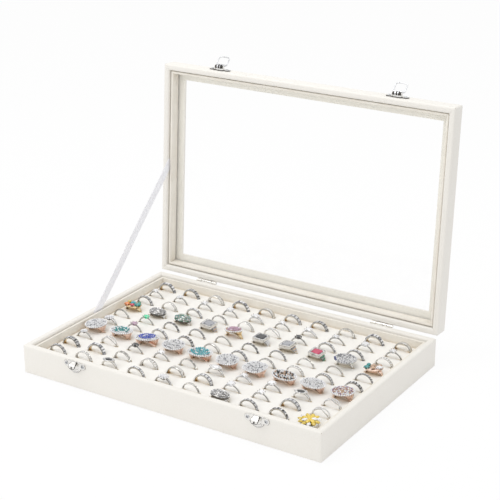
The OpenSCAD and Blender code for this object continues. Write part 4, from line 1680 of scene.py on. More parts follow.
class Head(Enum):
    """Ways to make a head."""

    BARE = "bare"
    SOLITAIRE = "solitaire"
    HALO = "halo"
    TABLE = "table"
    LEAF = "leaf"
    DISC = "disc"
    DOME = "dome"
    FLOWER = "flower"
    MEDLEY = "medley"


@dataclass(frozen=True)
class Fit:
    """The room for a ring, in millimetres, as the frame's rings have it: its band, and its head.

    The lift says how far the head stands above the band, and how much lower the ring sits for it.
    """

    band: float
    length: float = 0.0
    width: float = 0.0
    height: float = 0.0
    lift: float = 0.0


# bands stand 0.35 to 0.5 mm and heads 0.5 to 0.75 mm out of the frame's plain rings, all round
WIDE, MEDIUM, THIN = Fit(5.4), Fit(3.9), Fit(2.7)
SINGLE = Fit(2.0, 8.5, 8.5, 3.4, 1.8)
RAISED = Fit(2.4, 10.5, 10.5, 3.6, 2.0)
POINTED = Fit(2.6, 15.5, 9.0, 2.6, 1.0)
BLOSSOM = Fit(3.0, 11.5, 11.5, 4.0, 1.6)
OVAL_TOP = Fit(3.2, 20.5, 15.5, 4.4, 2.0)
BLOCK = Fit(4.0, 19.5, 14.5, 4.4, 1.8)
BIG_ROUND = Fit(3.2, 23.5, 23.5, 5.0, 2.4)
BIG_OVAL = Fit(3.2, 26.5, 19.5, 5.0, 2.4)


@dataclass(frozen=True)
class RingDesign:
    """One design: the band, what is set along it, and the head with its stones."""

    shank: Shank = Shank.COURT
    fit: Fit = MEDIUM
    crown: float = 0.0
    alloy: Alloy = Alloy.SILVER
    sleeve: Alloy | None = None
    inlay: tuple[Tint, ...] = (Tint.CLEAR,)
    head: Head = Head.BARE
    stone: Tint = Tint.CLEAR
    cut: Cut = Cut.BRILLIANT
    mixed: tuple[Tint, ...] = (Tint.CLEAR,)
    # how far the head is turned on its band, in degrees
    spin: float = 0.0


def cut_stone(name: str, outline: np.ndarray, seed: int, table: float = 0.55) -> Object:
    """Build one stone of 1 mm that stands on z = 0, with a painted reflection that makes each facet lighter
    or darker.

    Args:
        name: The stone's name.
        outline: Its girdle, anticlockwise.
        seed: The seed of its facets' brightness.
        table: The share of its width that its flat top takes.

    Returns:
        The stone.
    """
    count = len(outline)
    half = (outline + np.roll(outline, -1, 0)) / 2
    levels = [(outline * 0.5, 0.0), (outline, 0.34), (half * 0.9, 0.5), (outline * table, 0.62)]
    points = np.concatenate([np.column_stack([flat, np.full(count, height)]) for flat, height in levels])
    faces = [tuple(range(count))[::-1], tuple(range(3 * count, 4 * count))]
    for i in range(count):
        j = (i + 1) % count
        girdle, nxt, star, after = count + i, count + j, 2 * count + i, 2 * count + j
        faces += [(i, j, nxt, girdle), (girdle, nxt, star), (star, nxt, after),
                  (star, 3 * count + j, 3 * count + i), (star, after, 3 * count + j)]
    form = Form()
    form.add(points, faces, smooth=False)
    made = form.mesh(name, [STONE])
    chance = random.Random(seed)
    # painted reflections: each facet gets a brightness at random, as facets that mirror dark and bright
    # surroundings
    flash = [chance.choice([0.42, 0.75, 0.95, 1.0, 1.05]) for _ in faces]
    flash[1] = 0.95
    made.data.attributes.new("flash", "FLOAT", "FACE").data.foreach_set("value", flash)
    return made


def stone_setter() -> Setter:
    """Build the setter that copies the five cuts of stone.

    Returns:
        The setter.
    """
    pear = oval(1, 1, 10)
    pear[:, 1] *= 1 - 0.55 * np.maximum(pear[:, 0], 0) / 0.5
    outlines = [oval(1, 1, 8), round_box(1, 1, 0.14, 1), leaf(1, 1, 10), pear, oval(1, 1, 6)]
    parts = [cut_stone(f"{cut.name.lower()}_cut", outline, cut + 11, 0.72 if cut is Cut.STEP else 0.55)
             for cut, outline in zip(Cut, outlines)]
    return Setter("set stones", parts)


def bead_setter() -> Setter:
    """Build the setter that copies metal beads of 1 mm.

    Returns:
        The setter.
    """
    form = Form()
    levels = [(0.5 - x, z) for x, z in arc(0, 0, 0.5, -60, 60, 3)]
    form.stack(circle(0.5, 8), levels, np.eye(4))
    return Setter("set beads", [form.mesh("bead", [SILVER])])


def even(outline: np.ndarray, pitch: float) -> np.ndarray:
    """Spread points evenly along a closed outline, about a pitch apart.

    Args:
        outline: The outline's points.
        pitch: The distance wanted.

    Returns:
        The points.
    """
    closed = np.concatenate([outline, outline[:1]])
    travelled = np.concatenate([[0], np.cumsum(np.linalg.norm(np.diff(closed, axis=0), axis=1))])
    stops = np.linspace(0, travelled[-1], max(int(travelled[-1] / pitch), 1), endpoint=False)
    return np.stack([np.interp(stops, travelled, closed[:, k]) for k in (0, 1)], 1)


def pick(tints: Sequence[Tint], number: int) -> Tint:
    """Take a tint by its number; they repeat."""
    return tints[number % len(tints)]


class Bench:
    """The bench where a row's rings are made: their metal, their stones and their beads.

    A ring stands about its own origin: the finger hole runs along y, and its top is on +z.
    """

    bore = 8.7
    thick = 1.5
    top = bore + thick
    # the dark bevel that outlines a band: painted shade and dark reflection along its edges
    edge = 0.42
    # how far the middle of a plain ring lies below the pad's top
    sink = 1.2
    grain = 1.15

    def __init__(self, seed: int) -> None:
        """Clear the bench.

        Args:
            seed: The seed of the stones' small differences.
        """
        self.metal = Form()
        self.stones = Guides()
        self.beads = Guides()
        self.chance = random.Random(seed)
        self.design, self.fit = RingDesign(), MEDIUM
        self.place = self.foot = np.eye(4)

    def make(self, design: RingDesign, place: np.ndarray) -> None:
        """Make one ring.

        Args:
            design: Its design.
            place: Where it stands, in millimetres.
        """
        self.design, self.place, self.fit = design, place, design.fit
        self.foot = self.on_head(0, 0, 0)
        getattr(self, design.shank.value)()
        getattr(self, design.head.value)()

    # placing

    def seat(self, degrees: float, across: float, radius: float) -> np.ndarray:
        """Find a place on the band, where z points away from the finger and x along the band."""
        up, along = polar(radius, degrees)
        return self.place @ placed((along, across, up), turned("Y", degrees))

    def on_head(self, x: float, y: float, z: float, spin: float = 0.0) -> np.ndarray:
        """Find a place above the head's foot, turned about z by some degrees."""
        spot = placed((x, y, self.top + self.fit.lift - self.fit.height + z), turned("Z", spin))
        return self.place @ placed((0, 0, 0), turned("Z", self.design.spin)) @ spot

    def gem(self, place: np.ndarray, length: float, width: float, tint: Tint, cut: Cut = Cut.GRAIN,
            tall: float = 0.0) -> None:
        """Set one stone.

        Args:
            place: The stone's foot.
            length: Its size along its x.
            width: Its size along its y.
            tint: Its colour.
            cut: Its cut.
            tall: Its size along its z, or 0 for the smaller of the others.
        """
        light = self.chance.uniform(0.84, 1.06)
        colour = [c * light for c in linear(tint.value)[:3]] + [1.0]
        self.stones.add(place, (length, width, tall or min(length, width)), int(cut), colour)

    def bead(self, place: np.ndarray, size: float) -> None:
        """Set one metal bead."""
        self.beads.add(place, (size, size, size))

    # bands

    def around(self, path: Callable[[float], Outline], steps: int) -> np.ndarray:
        """Carry points given as (across, radius) at an angle from the top once round the finger hole.

        Args:
            path: Gives the points at an angle.
            steps: The number of angles.

        Returns:
            The points, angle by angle.
        """
        turns = np.linspace(-180, 180, steps, endpoint=False)
        rows = []
        for turn in turns:
            up, along = polar(1, turn)
            rows.append([[r * along, y, r * up] for y, r in path(turn)])
        return moved(np.array(rows), self.place)

    def sweep(self, outside: Callable[[float], Outline], marks: Sequence[Alloy] = ()) -> None:
        """Make a band with edges painted dark, and with a sleeve if the design has one.

        Args:
            outside: Gives the outside at an angle from the top, as (across, radius), from +y to -y.
            marks: The metal of each stretch of the outside, or nothing for the design's own.
        """
        alloy, bore, edge = self.design.alloy, self.bore, self.edge

        def section(turn: float) -> Outline:
            """Close the outside with its two rims and the bore."""
            points = outside(turn)
            half, side = points[0]
            near = [[half - edge, bore], [half, bore + edge], [half, side - edge * 0.7], [half - edge, side]]
            far = [[-y, r] for y, r in near[::-1]]
            return [far[-1], *near, *points[1:-1], *far[:-1]]

        inner = alloy if self.design.sleeve is None else self.design.sleeve
        shown = list(marks) or [alloy] * (len(outside(0)) - 1)
        # both bevels are painted dark: painted shade and dark reflection outlining the band
        rim = [Alloy.OXIDE, alloy, Alloy.OXIDE]
        marks = [int(metal) for metal in (inner, *rim, *shown, *rim)]
        self.metal.grid(self.around(section, 60), closed_rows=True, finish=marks)

    def strand(self, path: Callable[[float], tuple[float, float]], wire: float, steps: int = 84) -> None:
        """Lay a wire round the finger hole; its path gives (across, radius) at an angle from the top."""
        points = self.around(lambda turn: [path(turn)], steps)[:, 0]
        self.metal.tube(points, wire, sides=6, closed=True, finish=int(self.design.alloy))

    def wide(self, turn: float) -> float:
        """Work out the band's width at an angle from the top."""
        band = self.fit.band
        return band + max(self.design.crown - band, 0) * smooth_step((88 - abs(turn)) / 70)

    def court(self) -> None:
        """Make a plain band with a domed outside."""
        self.sweep(lambda turn: [[self.wide(turn) / 2 * s, self.bore + self.thick * (1 - 0.2 * s * s)]
                                 for s in np.linspace(1, -1, 7)])

    def channel(self, stone: float = 0.62, tints: Sequence[Tint] = ()) -> None:
        """Make a band with a row of square stones between two rails.

        Args:
            stone: A stone's length, as a share of its width.
            tints: The stones' colours, or nothing for the design's own.
        """
        rail, top, low = 0.7, self.top, self.top - 0.55

        def outside(turn: float) -> Outline:
            """Draw the rails and the floor between them."""
            half = self.wide(turn) / 2
            left = [[half, top], [half - rail, top], [half - rail, low]]
            return left + [[-y, r] for y, r in left[::-1]]

        # the channel's walls and floor are dark: oxide, and painted shade between the rails
        self.sweep(outside, [self.design.alloy, *[Alloy.OXIDE] * 3, self.design.alloy])
        size = self.fit.band - 2 * rail
        self.row_of_stones(size * stone, size, 0.0, low, Cut.STEP, tints=tints)

    def ribbed(self) -> None:
        """Make a band with narrow bright bars across it."""
        self.channel(0.3, (Tint.CLEAR, Tint.CLEAR, Tint.SMOKE))

    def row_of_stones(self, length: float, width: float, across: float, radius: float, cut: Cut,
                      shift: float = 0.0, tints: Sequence[Tint] = ()) -> None:
        """Set a row of stones along the band.

        Args:
            length: A stone's size along the band.
            width: Its size across the band.
            across: The row's place across the band.
            radius: The radius of the stones' feet.
            cut: Their cut.
            shift: The turn of the whole row, in stones.
            tints: The stones' colours, or nothing for the design's own.
        """
        pitch = math.degrees(length * 1.12 / radius)
        number = int(100 / pitch)
        tints = tints or self.design.inlay
        for k in range(-number, number + 1):
            self.gem(self.seat((k + shift) * pitch, across, radius), length, width, pick(tints, k), cut)

    def pave(self) -> None:
        """Make a band that is covered with small stones."""
        top = self.top - 0.3
        # the floor under the stones is dark: oxide, and painted shade between the stones
        self.sweep(lambda turn: [[self.wide(turn) / 2 * s, top] for s in (1, 0, -1)], [Alloy.OXIDE] * 2)
        number = max(int((self.fit.band - 0.3) / self.grain), 1)
        for k in range(number):
            across = (k - (number - 1) / 2) * self.grain
            self.row_of_stones(self.grain, self.grain, across, top - 0.25, Cut.GRAIN, shift=0.5 * (k % 2))

    def rope(self) -> None:
        """Make a band of three twisted wires."""
        wire, twists = self.thick * 0.31, 13
        for k in range(3):
            def path(turn: float, lead: float = k * 120.0) -> tuple[float, float]:
                """Wind one wire about the middle of the band."""
                aside, up = polar(1, turn * twists + lead)
                return self.wide(turn) * 0.32 * aside, self.bore + self.thick * 0.5 + wire * 0.9 * up

            self.strand(path, wire, steps=210)

    def lattice(self) -> None:
        """Make an openwork band: two rails with zigzags and stones between them."""
        wire, waves = 0.42, 12
        middle = self.bore + self.thick * 0.55
        for side in (-1, 1):
            def rail(turn: float) -> float:
                """Give the rail's place across the band."""
                return side * (self.wide(turn) / 2 - wire)

            self.strand(lambda turn: (rail(turn), middle), wire + 0.1)
            self.strand(lambda turn: (rail(turn) * math.sin(math.radians(turn) * waves), middle + 0.1), wire,
                        steps=168)
        for k in range(-6, 7):
            place = self.seat((k + 0.5) * 180 / waves, 0, middle - 0.3)
            self.gem(place, 1.4, 1.4, pick(self.design.inlay, k))

    def parted(self, spread: Callable[[float], float]) -> None:
        """Make a band of two wires with small stones on them.

        Args:
            spread: Gives a wire's place across the band at an angle from the top; the other mirrors it.
        """
        wire = 0.62
        middle = self.bore + wire
        for side in (-1, 1):
            self.strand(lambda turn: (side * spread(turn), middle + 0.12 * side * (abs(turn) < 30)), wire)
            for turn in np.arange(-56, 57, 8.0):
                place = self.seat(turn, side * spread(turn), middle + wire * 0.62)
                self.gem(place, self.grain, self.grain, pick(self.design.inlay, int(turn / 8)))

    def split(self) -> None:
        """Make a band that parts in two under its head."""
        room = self.fit.band / 2
        self.parted(lambda turn: 0.45 + (room - 0.45) * smooth_step((95 - abs(turn)) / 70))

    def cross(self) -> None:
        """Make a band of two wires that cross on top."""
        room = self.fit.band / 2
        self.parted(lambda turn: 0.4 * math.copysign(1, turn) + room * math.tanh(turn / 16)
                    * smooth_step((100 - abs(turn)) / 70))

    def wave(self) -> None:
        """Make a band of two wavy wires."""
        room = self.fit.band / 2
        self.parted(lambda turn: room * math.sin(math.radians(turn) * 3 + 0.5)
                    * (0.35 + 0.65 * smooth_step((110 - abs(turn)) / 50)))

    # heads

    def bare(self) -> None:
        """Leave the band without a head."""

    def plate(self, outline: np.ndarray, levels: Outline, alloy: Alloy) -> None:
        """Add a head's body: outlines one above the other; see Form.stack."""
        self.metal.stack(outline, levels, self.foot, int(alloy))

    def wire(self, path: Outline, radius: float, alloy: Alloy) -> None:
        """Add a wire whose points are given from the head's foot."""
        self.metal.tube(moved(np.array(path), self.foot), radius, sides=5, finish=int(alloy))

    def studs(self, outline: np.ndarray, height: float, size: float, tints: Sequence[Tint]) -> None:
        """Set small stones side by side along an outline at a height, in colours chosen at random.

        Args:
            outline: The outline's points.
            height: The stones' height above the head's foot.
            size: Their size.
            tints: Their colours.
        """
        for x, y in even(outline, size * 1.04):
            grain = size * self.chance.uniform(0.9, 1.06)
            place = self.on_head(x, y, height, self.chance.uniform(0, 60))
            self.gem(place, grain, grain, self.chance.choice(tints))

    def fill(self, outline: np.ndarray, height: float, tints: Sequence[Tint], dome: float,
             size: float = 1.5) -> None:
        """Cover a head with rings of small stones.

        Args:
            outline: The head's outline.
            height: The height of the outermost ring.
            tints: The stones' colours.
            dome: How much higher the middle is.
            size: The stones' size.
        """
        steps = max(int(min(np.ptp(outline[:, 0]), np.ptp(outline[:, 1])) / 2 / size), 1)
        for k in range(steps + 1):
            share = 1 - k / (steps + 0.35)
            self.studs(outline * share, height + dome * (1 - share**2), size, tints)

    def solitaire(self) -> None:
        """Add one raised stone on prongs, with small stones on the shoulders."""
        fit, design = self.fit, self.design
        number, tip, tall = 6 if fit.length > 8 else 4, fit.length * 0.46, fit.height
        prong = [(0.9, 0.0), ((0.9 + tip) / 2 + 0.15, tall * 0.45), (tip, tall * 0.8), (tip - 0.15, tall)]
        for k in range(number):
            turn = 360 * (k + 0.5) / number
            self.wire([[*polar(r, turn), z] for r, z in prong], 0.42, design.alloy)
            self.bead(self.on_head(*polar(tip - 0.2, turn), tall - 0.05), 1.1)
        levels = [(0.5, tall * 0.12), (0.2, tall * 0.3), (0.3, tall * 0.42), (0.8, tall * 0.42)]
        self.plate(oval(fit.length * 0.62, fit.width * 0.62, 16), levels, Alloy.OXIDE)
        place = self.on_head(0, 0, 0.1)
        self.gem(place, fit.length * 0.9, fit.width * 0.9, design.stone, design.cut, tall / 0.62)
        for side in (-1, 1):
            for k in range(4):
                self.gem(self.seat(side * (19 + 8 * k), 0, self.top - 0.45), 1.3, 1.3, pick(design.mixed, k))

    def halo(self) -> None:
        """Add a big cluster: a coloured middle, a scalloped halo and a ribbed gallery under it."""
        fit, design = self.fit, self.design
        outline = oval(fit.length, fit.width, 40, 2.8 if design.cut is Cut.STEP else 2.0)
        lip = fit.height - 1.3
        self.plate(outline, [(fit.width * 0.22, lip * 0.3), (1.5, lip - 0.3), (1.0, lip), (0.55, lip + 0.2),
                             (0.7, lip + 0.5), (1.2, lip + 0.55)], Alloy.SILVER)
        self.basket(outline, lip)
        self.studs(outline * 0.955, lip - 0.15, 2.1, (Tint.CLEAR,))
        self.fill(outline * 0.82, lip + 0.35, design.mixed, 0.35)
        if design.stone is not Tint.CLEAR:
            marquise = design.cut is Cut.MARQUISE
            inner = leaf(fit.length * 0.72, fit.width * 0.78, 32) if marquise else outline * 0.62
            self.fill(inner, lip + 0.75, (*[design.stone] * 4, Tint.CLEAR), 0.3, size=2.0)

    def basket(self, outline: np.ndarray, lip: float) -> None:
        """Add the gallery of a cluster: a skirt with ribs, whose lower edge follows the finger.

        Args:
            outline: The cluster's outline.
            lip: The height of the skirt's upper edge.
        """
        fit, alloy = self.fit, self.design.alloy
        foot = self.top + fit.lift - fit.height

        def rib(x: float, y: float, inset: float) -> list[list[float]]:
            """Follow the skirt down from a point of the outline."""
            reach = max((self.bore + 0.6) ** 2 - (x * 0.76) ** 2, 0.0)
            low = max(math.sqrt(reach), self.sink + fit.lift + 0.3) - foot
            levels = ((0.93, 0.93, lip), (0.9, 0.82, lip - (lip - low) * 0.3),
                      (0.83, 0.66, low * 0.7 + lip * 0.3), (0.76, 0.5, low))
            out = 1 - inset / max(math.hypot(x, y), 1e-6)
            return [[x * u * out, y * v * out, z] for u, v, z in levels]

        walls = np.array([rib(x, y, 0.3) + rib(x, y, 0.9)[::-1] for x, y in even(outline, 0.95)])
        self.metal.grid(moved(walls.transpose(1, 0, 2), self.foot), closed_rows=True, finish=int(alloy))
        for x, y in even(outline, 1.9):
            self.wire(rib(x, y, 0.1), 0.42, alloy)
            self.bead(self.on_head(x * 0.96, y * 0.96, lip - 0.5), 0.8)

    def table(self) -> None:
        """Add a rectangular table with a flat stone, and barred shoulders."""
        fit, design = self.fit, self.design
        top, length = fit.height - 0.35, fit.length * 0.72
        levels = [(2.6, -1.6), (0.9, 0.2), (0.2, 0.7), (0, 1.1), (0, top - 0.4), (0.3, top), (1.1, top),
                  (1.3, top - 0.5), (2.2, top - 0.5)]
        self.plate(round_box(length, fit.width, 1.4), levels, design.alloy)
        self.gem(self.on_head(0, 0, top - 0.9), length - 4.2, fit.width - 4.4, design.stone, Cut.STEP, 1.9)
        self.studs(round_box(length - 3.0, fit.width - 3.0, 0.8), top - 0.75, 1.1, design.mixed)
        for side in (-1, 1):
            for k in range(5):
                turn = 37 + 7.5 * k
                self.gem(self.seat(side * turn, 0, self.top + 0.5 - 0.3 * k), 1.15, self.wide(turn) - 0.8,
                         pick(design.inlay, k), Cut.STEP)

    def leaf(self) -> None:
        """Add a pointed frame with a big stone and small ones round it."""
        fit, design = self.fit, self.design
        outline = leaf(fit.length, fit.width, 28)
        levels = [(1.4, 0.0), (0.2, 0.4), (0, 0.6), (0.35, 0.8), (0.8, 0.75)]
        self.plate(outline, [(u, fit.height * v) for u, v in levels], design.alloy)
        self.studs(outline * 0.84, fit.height * 0.6, 1.15, design.mixed)
        self.gem(self.on_head(0, 0, fit.height * 0.5), fit.length * 0.56, fit.width * 0.56, design.stone,
                 Cut.MARQUISE, fit.height * 0.8)

    def disc(self) -> None:
        """Add a wide disc with circles of small stones and a few dark ones at its edge."""
        fit, design = self.fit, self.design
        outline = oval(fit.length, fit.width, 40)
        top = fit.height - 0.9
        levels = [(fit.length * 0.36, 0.0), (fit.length * 0.2, top * 0.5), (0.6, top - 0.4), (0, top),
                  (0.1, top + 0.35), (0.7, top + 0.35), (0.9, top + 0.1), (1.6, top + 0.1)]
        self.plate(outline, levels, design.alloy)
        for share in (0.93, 0.78, 0.63, 0.48, 0.33, 0.16):
            self.studs(outline * share, top + 0.12, 1.25 if share > 0.2 else 1.9, design.mixed)
        for k in range(3):
            place = self.on_head(*polar(fit.length * 0.46, 205 + 14 * k), top)
            self.gem(place, 2.4, 2.4, design.stone, Cut.BRILLIANT)

    def dome(self) -> None:
        """Add a high dome of curled wires and stones over a dark plate, painted shade for the hollow under
        them.
        """
        fit, height = self.fit, self.fit.height
        outline = oval(fit.length - 0.6, fit.width - 0.6, 32)
        rise = [(fit.width * 0.5 * (1 - x), (height - 0.4) * z) for x, z in arc(0, 0, 1, 0, 75, 5)]
        self.plate(outline, [(1.6, -1.6), (0.4, -0.4), *rise], Alloy.OXIDE)
        for k in range(6):
            turns = np.radians(np.arange(0, 300, 15) + k * 60)
            reach = np.linspace(0.96, 0.16, len(turns))
            self.wire(np.stack([reach * np.cos(turns) * fit.length / 2, reach * np.sin(turns) * fit.width / 2,
                                (height - 0.2) * np.sqrt(1 - reach**2) + 0.1], 1), 0.4, self.design.alloy)
        for share in (0.94, 0.76, 0.55, 0.3, 0.1):
            top = (height - 0.5) * math.sqrt(1 - share**2) - 0.1
            self.studs(outline * share, top, 1.5, self.design.mixed)

    def flower(self) -> None:
        """Add rings of pointed petals round a middle stone."""
        fit, design = self.fit, self.design
        petal, tall = fit.length * 0.3, fit.height * 0.7
        levels = [(1.6, -0.6), (0.3, fit.height * 0.4), (0, fit.height * 0.5), (0.8, fit.height * 0.5)]
        self.plate(oval(fit.length * 0.66, fit.width * 0.66, 20), levels, Alloy.OXIDE)
        for ring, (share, number, height) in enumerate(((0.34, 11, 0.3), (0.19, 7, 0.5))):
            for k in range(number):
                turn = 360 / number * (k + 0.5 * ring)
                x, y = polar(share, turn)
                place = self.on_head(fit.length * x, fit.width * y, fit.height * height, turn)
                self.gem(place, petal, petal * 0.6, pick(design.mixed, k + ring), Cut.MARQUISE, tall)
        place = self.on_head(0, 0, fit.height * 0.55)
        self.gem(place, petal * 0.7, petal * 0.7, design.stone, Cut.BRILLIANT, tall)

    def medley(self) -> None:
        """Add stones of many colours and sizes, side by side."""
        fit, design, height = self.fit, self.design, self.fit.height
        levels = [(3.2, -1.8), (0.6, height * 0.2), (0, height * 0.4), (0.9, height * 0.5)]
        self.plate(oval(fit.length, fit.width, 28), levels, design.alloy)
        spots = [(-0.3, -0.2, 0.42, Cut.BRILLIANT), (0.06, -0.22, 0.34, Cut.BRILLIANT),
                 (0.32, -0.02, 0.4, Cut.STEP), (-0.06, 0.16, 0.42, Cut.PEAR),
                 (-0.34, 0.2, 0.3, Cut.BRILLIANT), (0.24, 0.3, 0.3, Cut.MARQUISE)]
        for k, (u, v, size, cut) in enumerate(spots):
            x, y, wide = u * fit.length, v * fit.width, fit.width * size
            place = self.on_head(x, y, height * 0.42, 37 * k)
            self.gem(place, wide, wide, pick(design.mixed, k), cut, height * 0.85)
            for j in range(4):
                away, aside = polar(wide * 0.5, 90 * j + 45 + 37 * k)
                self.bead(self.on_head(x + away, y + aside, height * 0.6), 1.0)


def designs() -> dict[str, RingDesign]:
    """Name the designs that the rows are filled with.

    Returns:
        The designs, by name.
    """
    clear, smoke, jet, gold, rose = Tint.CLEAR, Tint.SMOKE, Tint.JET, Alloy.GOLD, Alloy.ROSE
    wide = {"fit": WIDE, "sleeve": gold}
    single = {"fit": SINGLE, "head": Head.SOLITAIRE}
    big = {"fit": BIG_OVAL, "crown": 12.0, "head": Head.HALO, "alloy": rose, "mixed": (*[clear] * 4, smoke)}
    top = {"fit": OVAL_TOP, "crown": 9.0}
    bars = {"fit": BLOCK, "crown": 10.0, "head": Head.TABLE, "mixed": (clear, smoke)}
    return {
        "court": RingDesign(**wide), "milled": RingDesign(Shank.RIBBED, **wide),
        "inlaid": RingDesign(Shank.CHANNEL, inlay=(clear, clear, smoke), **wide),
        "paved": RingDesign(Shank.PAVE, inlay=(clear, smoke, clear, clear, jet), **wide),
        "netted": RingDesign(Shank.LATTICE, **wide), "twined": RingDesign(Shank.ROPE, **wide),
        "plain": RingDesign(), "rope": RingDesign(Shank.ROPE), "ribs": RingDesign(Shank.RIBBED),
        "lace": RingDesign(Shank.LATTICE), "grains": RingDesign(Shank.PAVE, inlay=(clear, clear, smoke)),
        "squares": RingDesign(Shank.CHANNEL, inlay=(clear, clear, clear, smoke)),
        "night": RingDesign(Shank.PAVE, inlay=(jet, clear, jet, clear, clear)),
        "onyx": RingDesign(Shank.CHANNEL, inlay=(jet, smoke, clear)),
        "cross": RingDesign(Shank.CROSS), "wave": RingDesign(Shank.WAVE),
        "thin": RingDesign(fit=THIN), "row": RingDesign(Shank.PAVE, THIN, inlay=(clear, smoke)),
        "dark_row": RingDesign(Shank.PAVE, THIN, inlay=(smoke, jet, clear)),
        "twist": RingDesign(Shank.ROPE, THIN),
        "single": RingDesign(**single), "princess": RingDesign(cut=Cut.STEP, **single),
        "mint": RingDesign(stone=Tint.MINT, **single), "lilac": RingDesign(stone=Tint.LILAC, **single),
        "black": RingDesign(stone=jet, **single), "crossed": RingDesign(Shank.SPLIT, **single),
        "raised": RingDesign(Shank.SPLIT, RAISED, head=Head.SOLITAIRE),
        "petals": RingDesign(fit=SINGLE, head=Head.FLOWER),
        "cluster": RingDesign(Shank.SPLIT, BLOSSOM, head=Head.FLOWER),
        "star": RingDesign(Shank.PAVE, BLOSSOM, head=Head.FLOWER),
        "leaf": RingDesign(Shank.SPLIT, POINTED, head=Head.LEAF),
        "dark_leaf": RingDesign(Shank.SPLIT, POINTED, head=Head.LEAF, stone=jet, mixed=(clear, smoke)),
        "medley": RingDesign(alloy=gold, head=Head.MEDLEY, **top, mixed=(
            Tint.ORANGE, Tint.RED, Tint.TEAL, Tint.AQUA, Tint.YELLOW, Tint.GREEN)),
        "filigree": RingDesign(sleeve=rose, head=Head.DOME, mixed=(smoke, clear, smoke), **top),
        "enamel": RingDesign(head=Head.DOME, mixed=(Tint.GREEN, Tint.TEAL, Tint.GREEN, clear), **top),
        "sunset": RingDesign(alloy=gold, sleeve=rose, head=Head.HALO, stone=Tint.LILAC,
                             mixed=(Tint.LILAC, Tint.CHAMPAGNE), **top),
        "two_tone": RingDesign(alloy=rose, head=Head.MEDLEY, mixed=(
            Tint.TEAL, Tint.CHAMPAGNE, clear, Tint.CHAMPAGNE), **top),
        "lacework": RingDesign(head=Head.DOME, mixed=(smoke, clear, smoke), **(top | {"crown": 12.0})),
        "signet": RingDesign(stone=smoke, inlay=(Tint.CHAMPAGNE, smoke), **bars),
        "signet_cross": RingDesign(stone=jet, inlay=(clear, clear), **bars),
        "crimson": RingDesign(stone=Tint.CRIMSON, inlay=(Tint.GREEN, Tint.GREEN, smoke), **bars),
        "disc": RingDesign(fit=BIG_ROUND, head=Head.DISC, stone=Tint.NAVY, mixed=(clear, clear, smoke)),
        "frost": RingDesign(**(big | {"fit": BIG_ROUND})),
        "frost_square": RingDesign(cut=Cut.STEP, spin=-8, **(big | {"fit": BIG_ROUND})),
        "frost_oval": RingDesign(**big),
        "teal": RingDesign(stone=Tint.TEAL, **big), "royal": RingDesign(stone=Tint.ROYAL, spin=24, **big),
        "aqua": RingDesign(stone=Tint.AQUA, cut=Cut.MARQUISE, spin=14, **big),
        "checker": RingDesign(**(big | {"mixed": (jet, clear, jet, clear, Tint.CHAMPAGNE)})),
        "plum": RingDesign(**(big | {"fit": BIG_ROUND, "mixed": (Tint.PURPLE, Tint.CHAMPAGNE, clear)})),
        "lemon": RingDesign(fit=BIG_ROUND, crown=13.0, head=Head.FLOWER, stone=Tint.YELLOW,
                            mixed=(Tint.YELLOW, clear, Tint.YELLOW, Tint.YELLOW)),
    }


# the designs in each row, from the front row to the back one, from left to right
ROWS = (
    "grains lace dark_leaf squares star twist lacework grains onyx lemon",
    "paved inlaid twined netted court milled princess single milled cross",
    "petals cross black single rope leaf crossed princess dark_leaf wave",
    "frost teal royal frost aqua frost frost_square checker frost_oval plum",
    "cluster lilac squares night plain grains rope lace ribs night",
    "thin mint dark_row row thin dark_row row twist thin row",
    "medley filigree enamel signet sunset signet_cross signet crimson disc two_tone",
    "grains lace squares rope lace cross black squares grains lace",
    "single petals single princess raised single raised single princess single",
    "inlaid paved netted inlaid court milled paved twined inlaid court",
)


class RingSet:
    """The rings in the pad, ten in each row."""

    pitch = 33.0

    def __init__(self) -> None:
        """Take the rings' places from the frame."""
        made = designs()
        self.designs = [[made[name] for name in row.split()] for row in ROWS]
        self.pad_top = CASE.box("ring_pad")[1][2]
        self.rows = [float(np.mean([corner[1] for corner in CASE.box(f"rings_row_{number + 1:02d}")]))
                     for number in range(len(ROWS))]
        count = len(self.designs[0])
        self.columns = [(i - (count - 1) / 2) * self.pitch for i in range(count)]

    def slit(self, row: int, column: int) -> tuple[float, float]:
        """Say how far out and how wide the band is where it goes into its slit."""
        fit = self.designs[row][column].fit
        return math.sqrt((Bench.bore + Bench.thick / 2) ** 2 - (Bench.sink + fit.lift) ** 2), fit.band

    def build(self) -> None:
        """Build the rings, row by row."""
        setter, beader = stone_setter(), bead_setter()
        for row, line in enumerate(self.designs):
            bench = Bench(row + 5)
            node = f"rings_row_{row + 1:02d}"
            for column, design in enumerate(line):
                lean = turned("Y", bench.chance.uniform(-6, 6)) @ turned("X", bench.chance.uniform(-2.5, 2.5))
                height = self.pad_top - bench.sink - design.fit.lift
                bench.make(design, placed((self.columns[column], self.rows[row], height), lean))
            metal = bench.metal.piece(node + "_metal", [SILVER, GOLD, ROSE_GOLD, OXIDE_AND_SHADE_SILVER], "tray", [node])
            crisp(metal, 38)
            settle(setter.copies(bench.stones, node + "_stones", STONE, row), STONE, "tray")
            if bench.beads.places:
                beads = beader.copies(bench.beads, node + "_beads", SILVER, row)
                settle(crisp(beads, 60), SILVER, "tray")
        setter.clear()
        beader.clear()


# ---------- stage ----------


def shown(tree: NodeTree) -> NodeSocket:
    """Tell the rays that show a surface, also in a mirror or through glass, from those that light.

    Args:
        tree: The tree.

    Returns:
        1 for a ray that shows a surface, 0 for one that lights.
    """
    path = add(tree, "ShaderNodeLightPath").outputs
    seen = maths(tree, "MAXIMUM", path["Is Camera Ray"], path["Is Glossy Ray"])
    return maths(tree, "MAXIMUM", seen, path["Is Transmission Ray"])


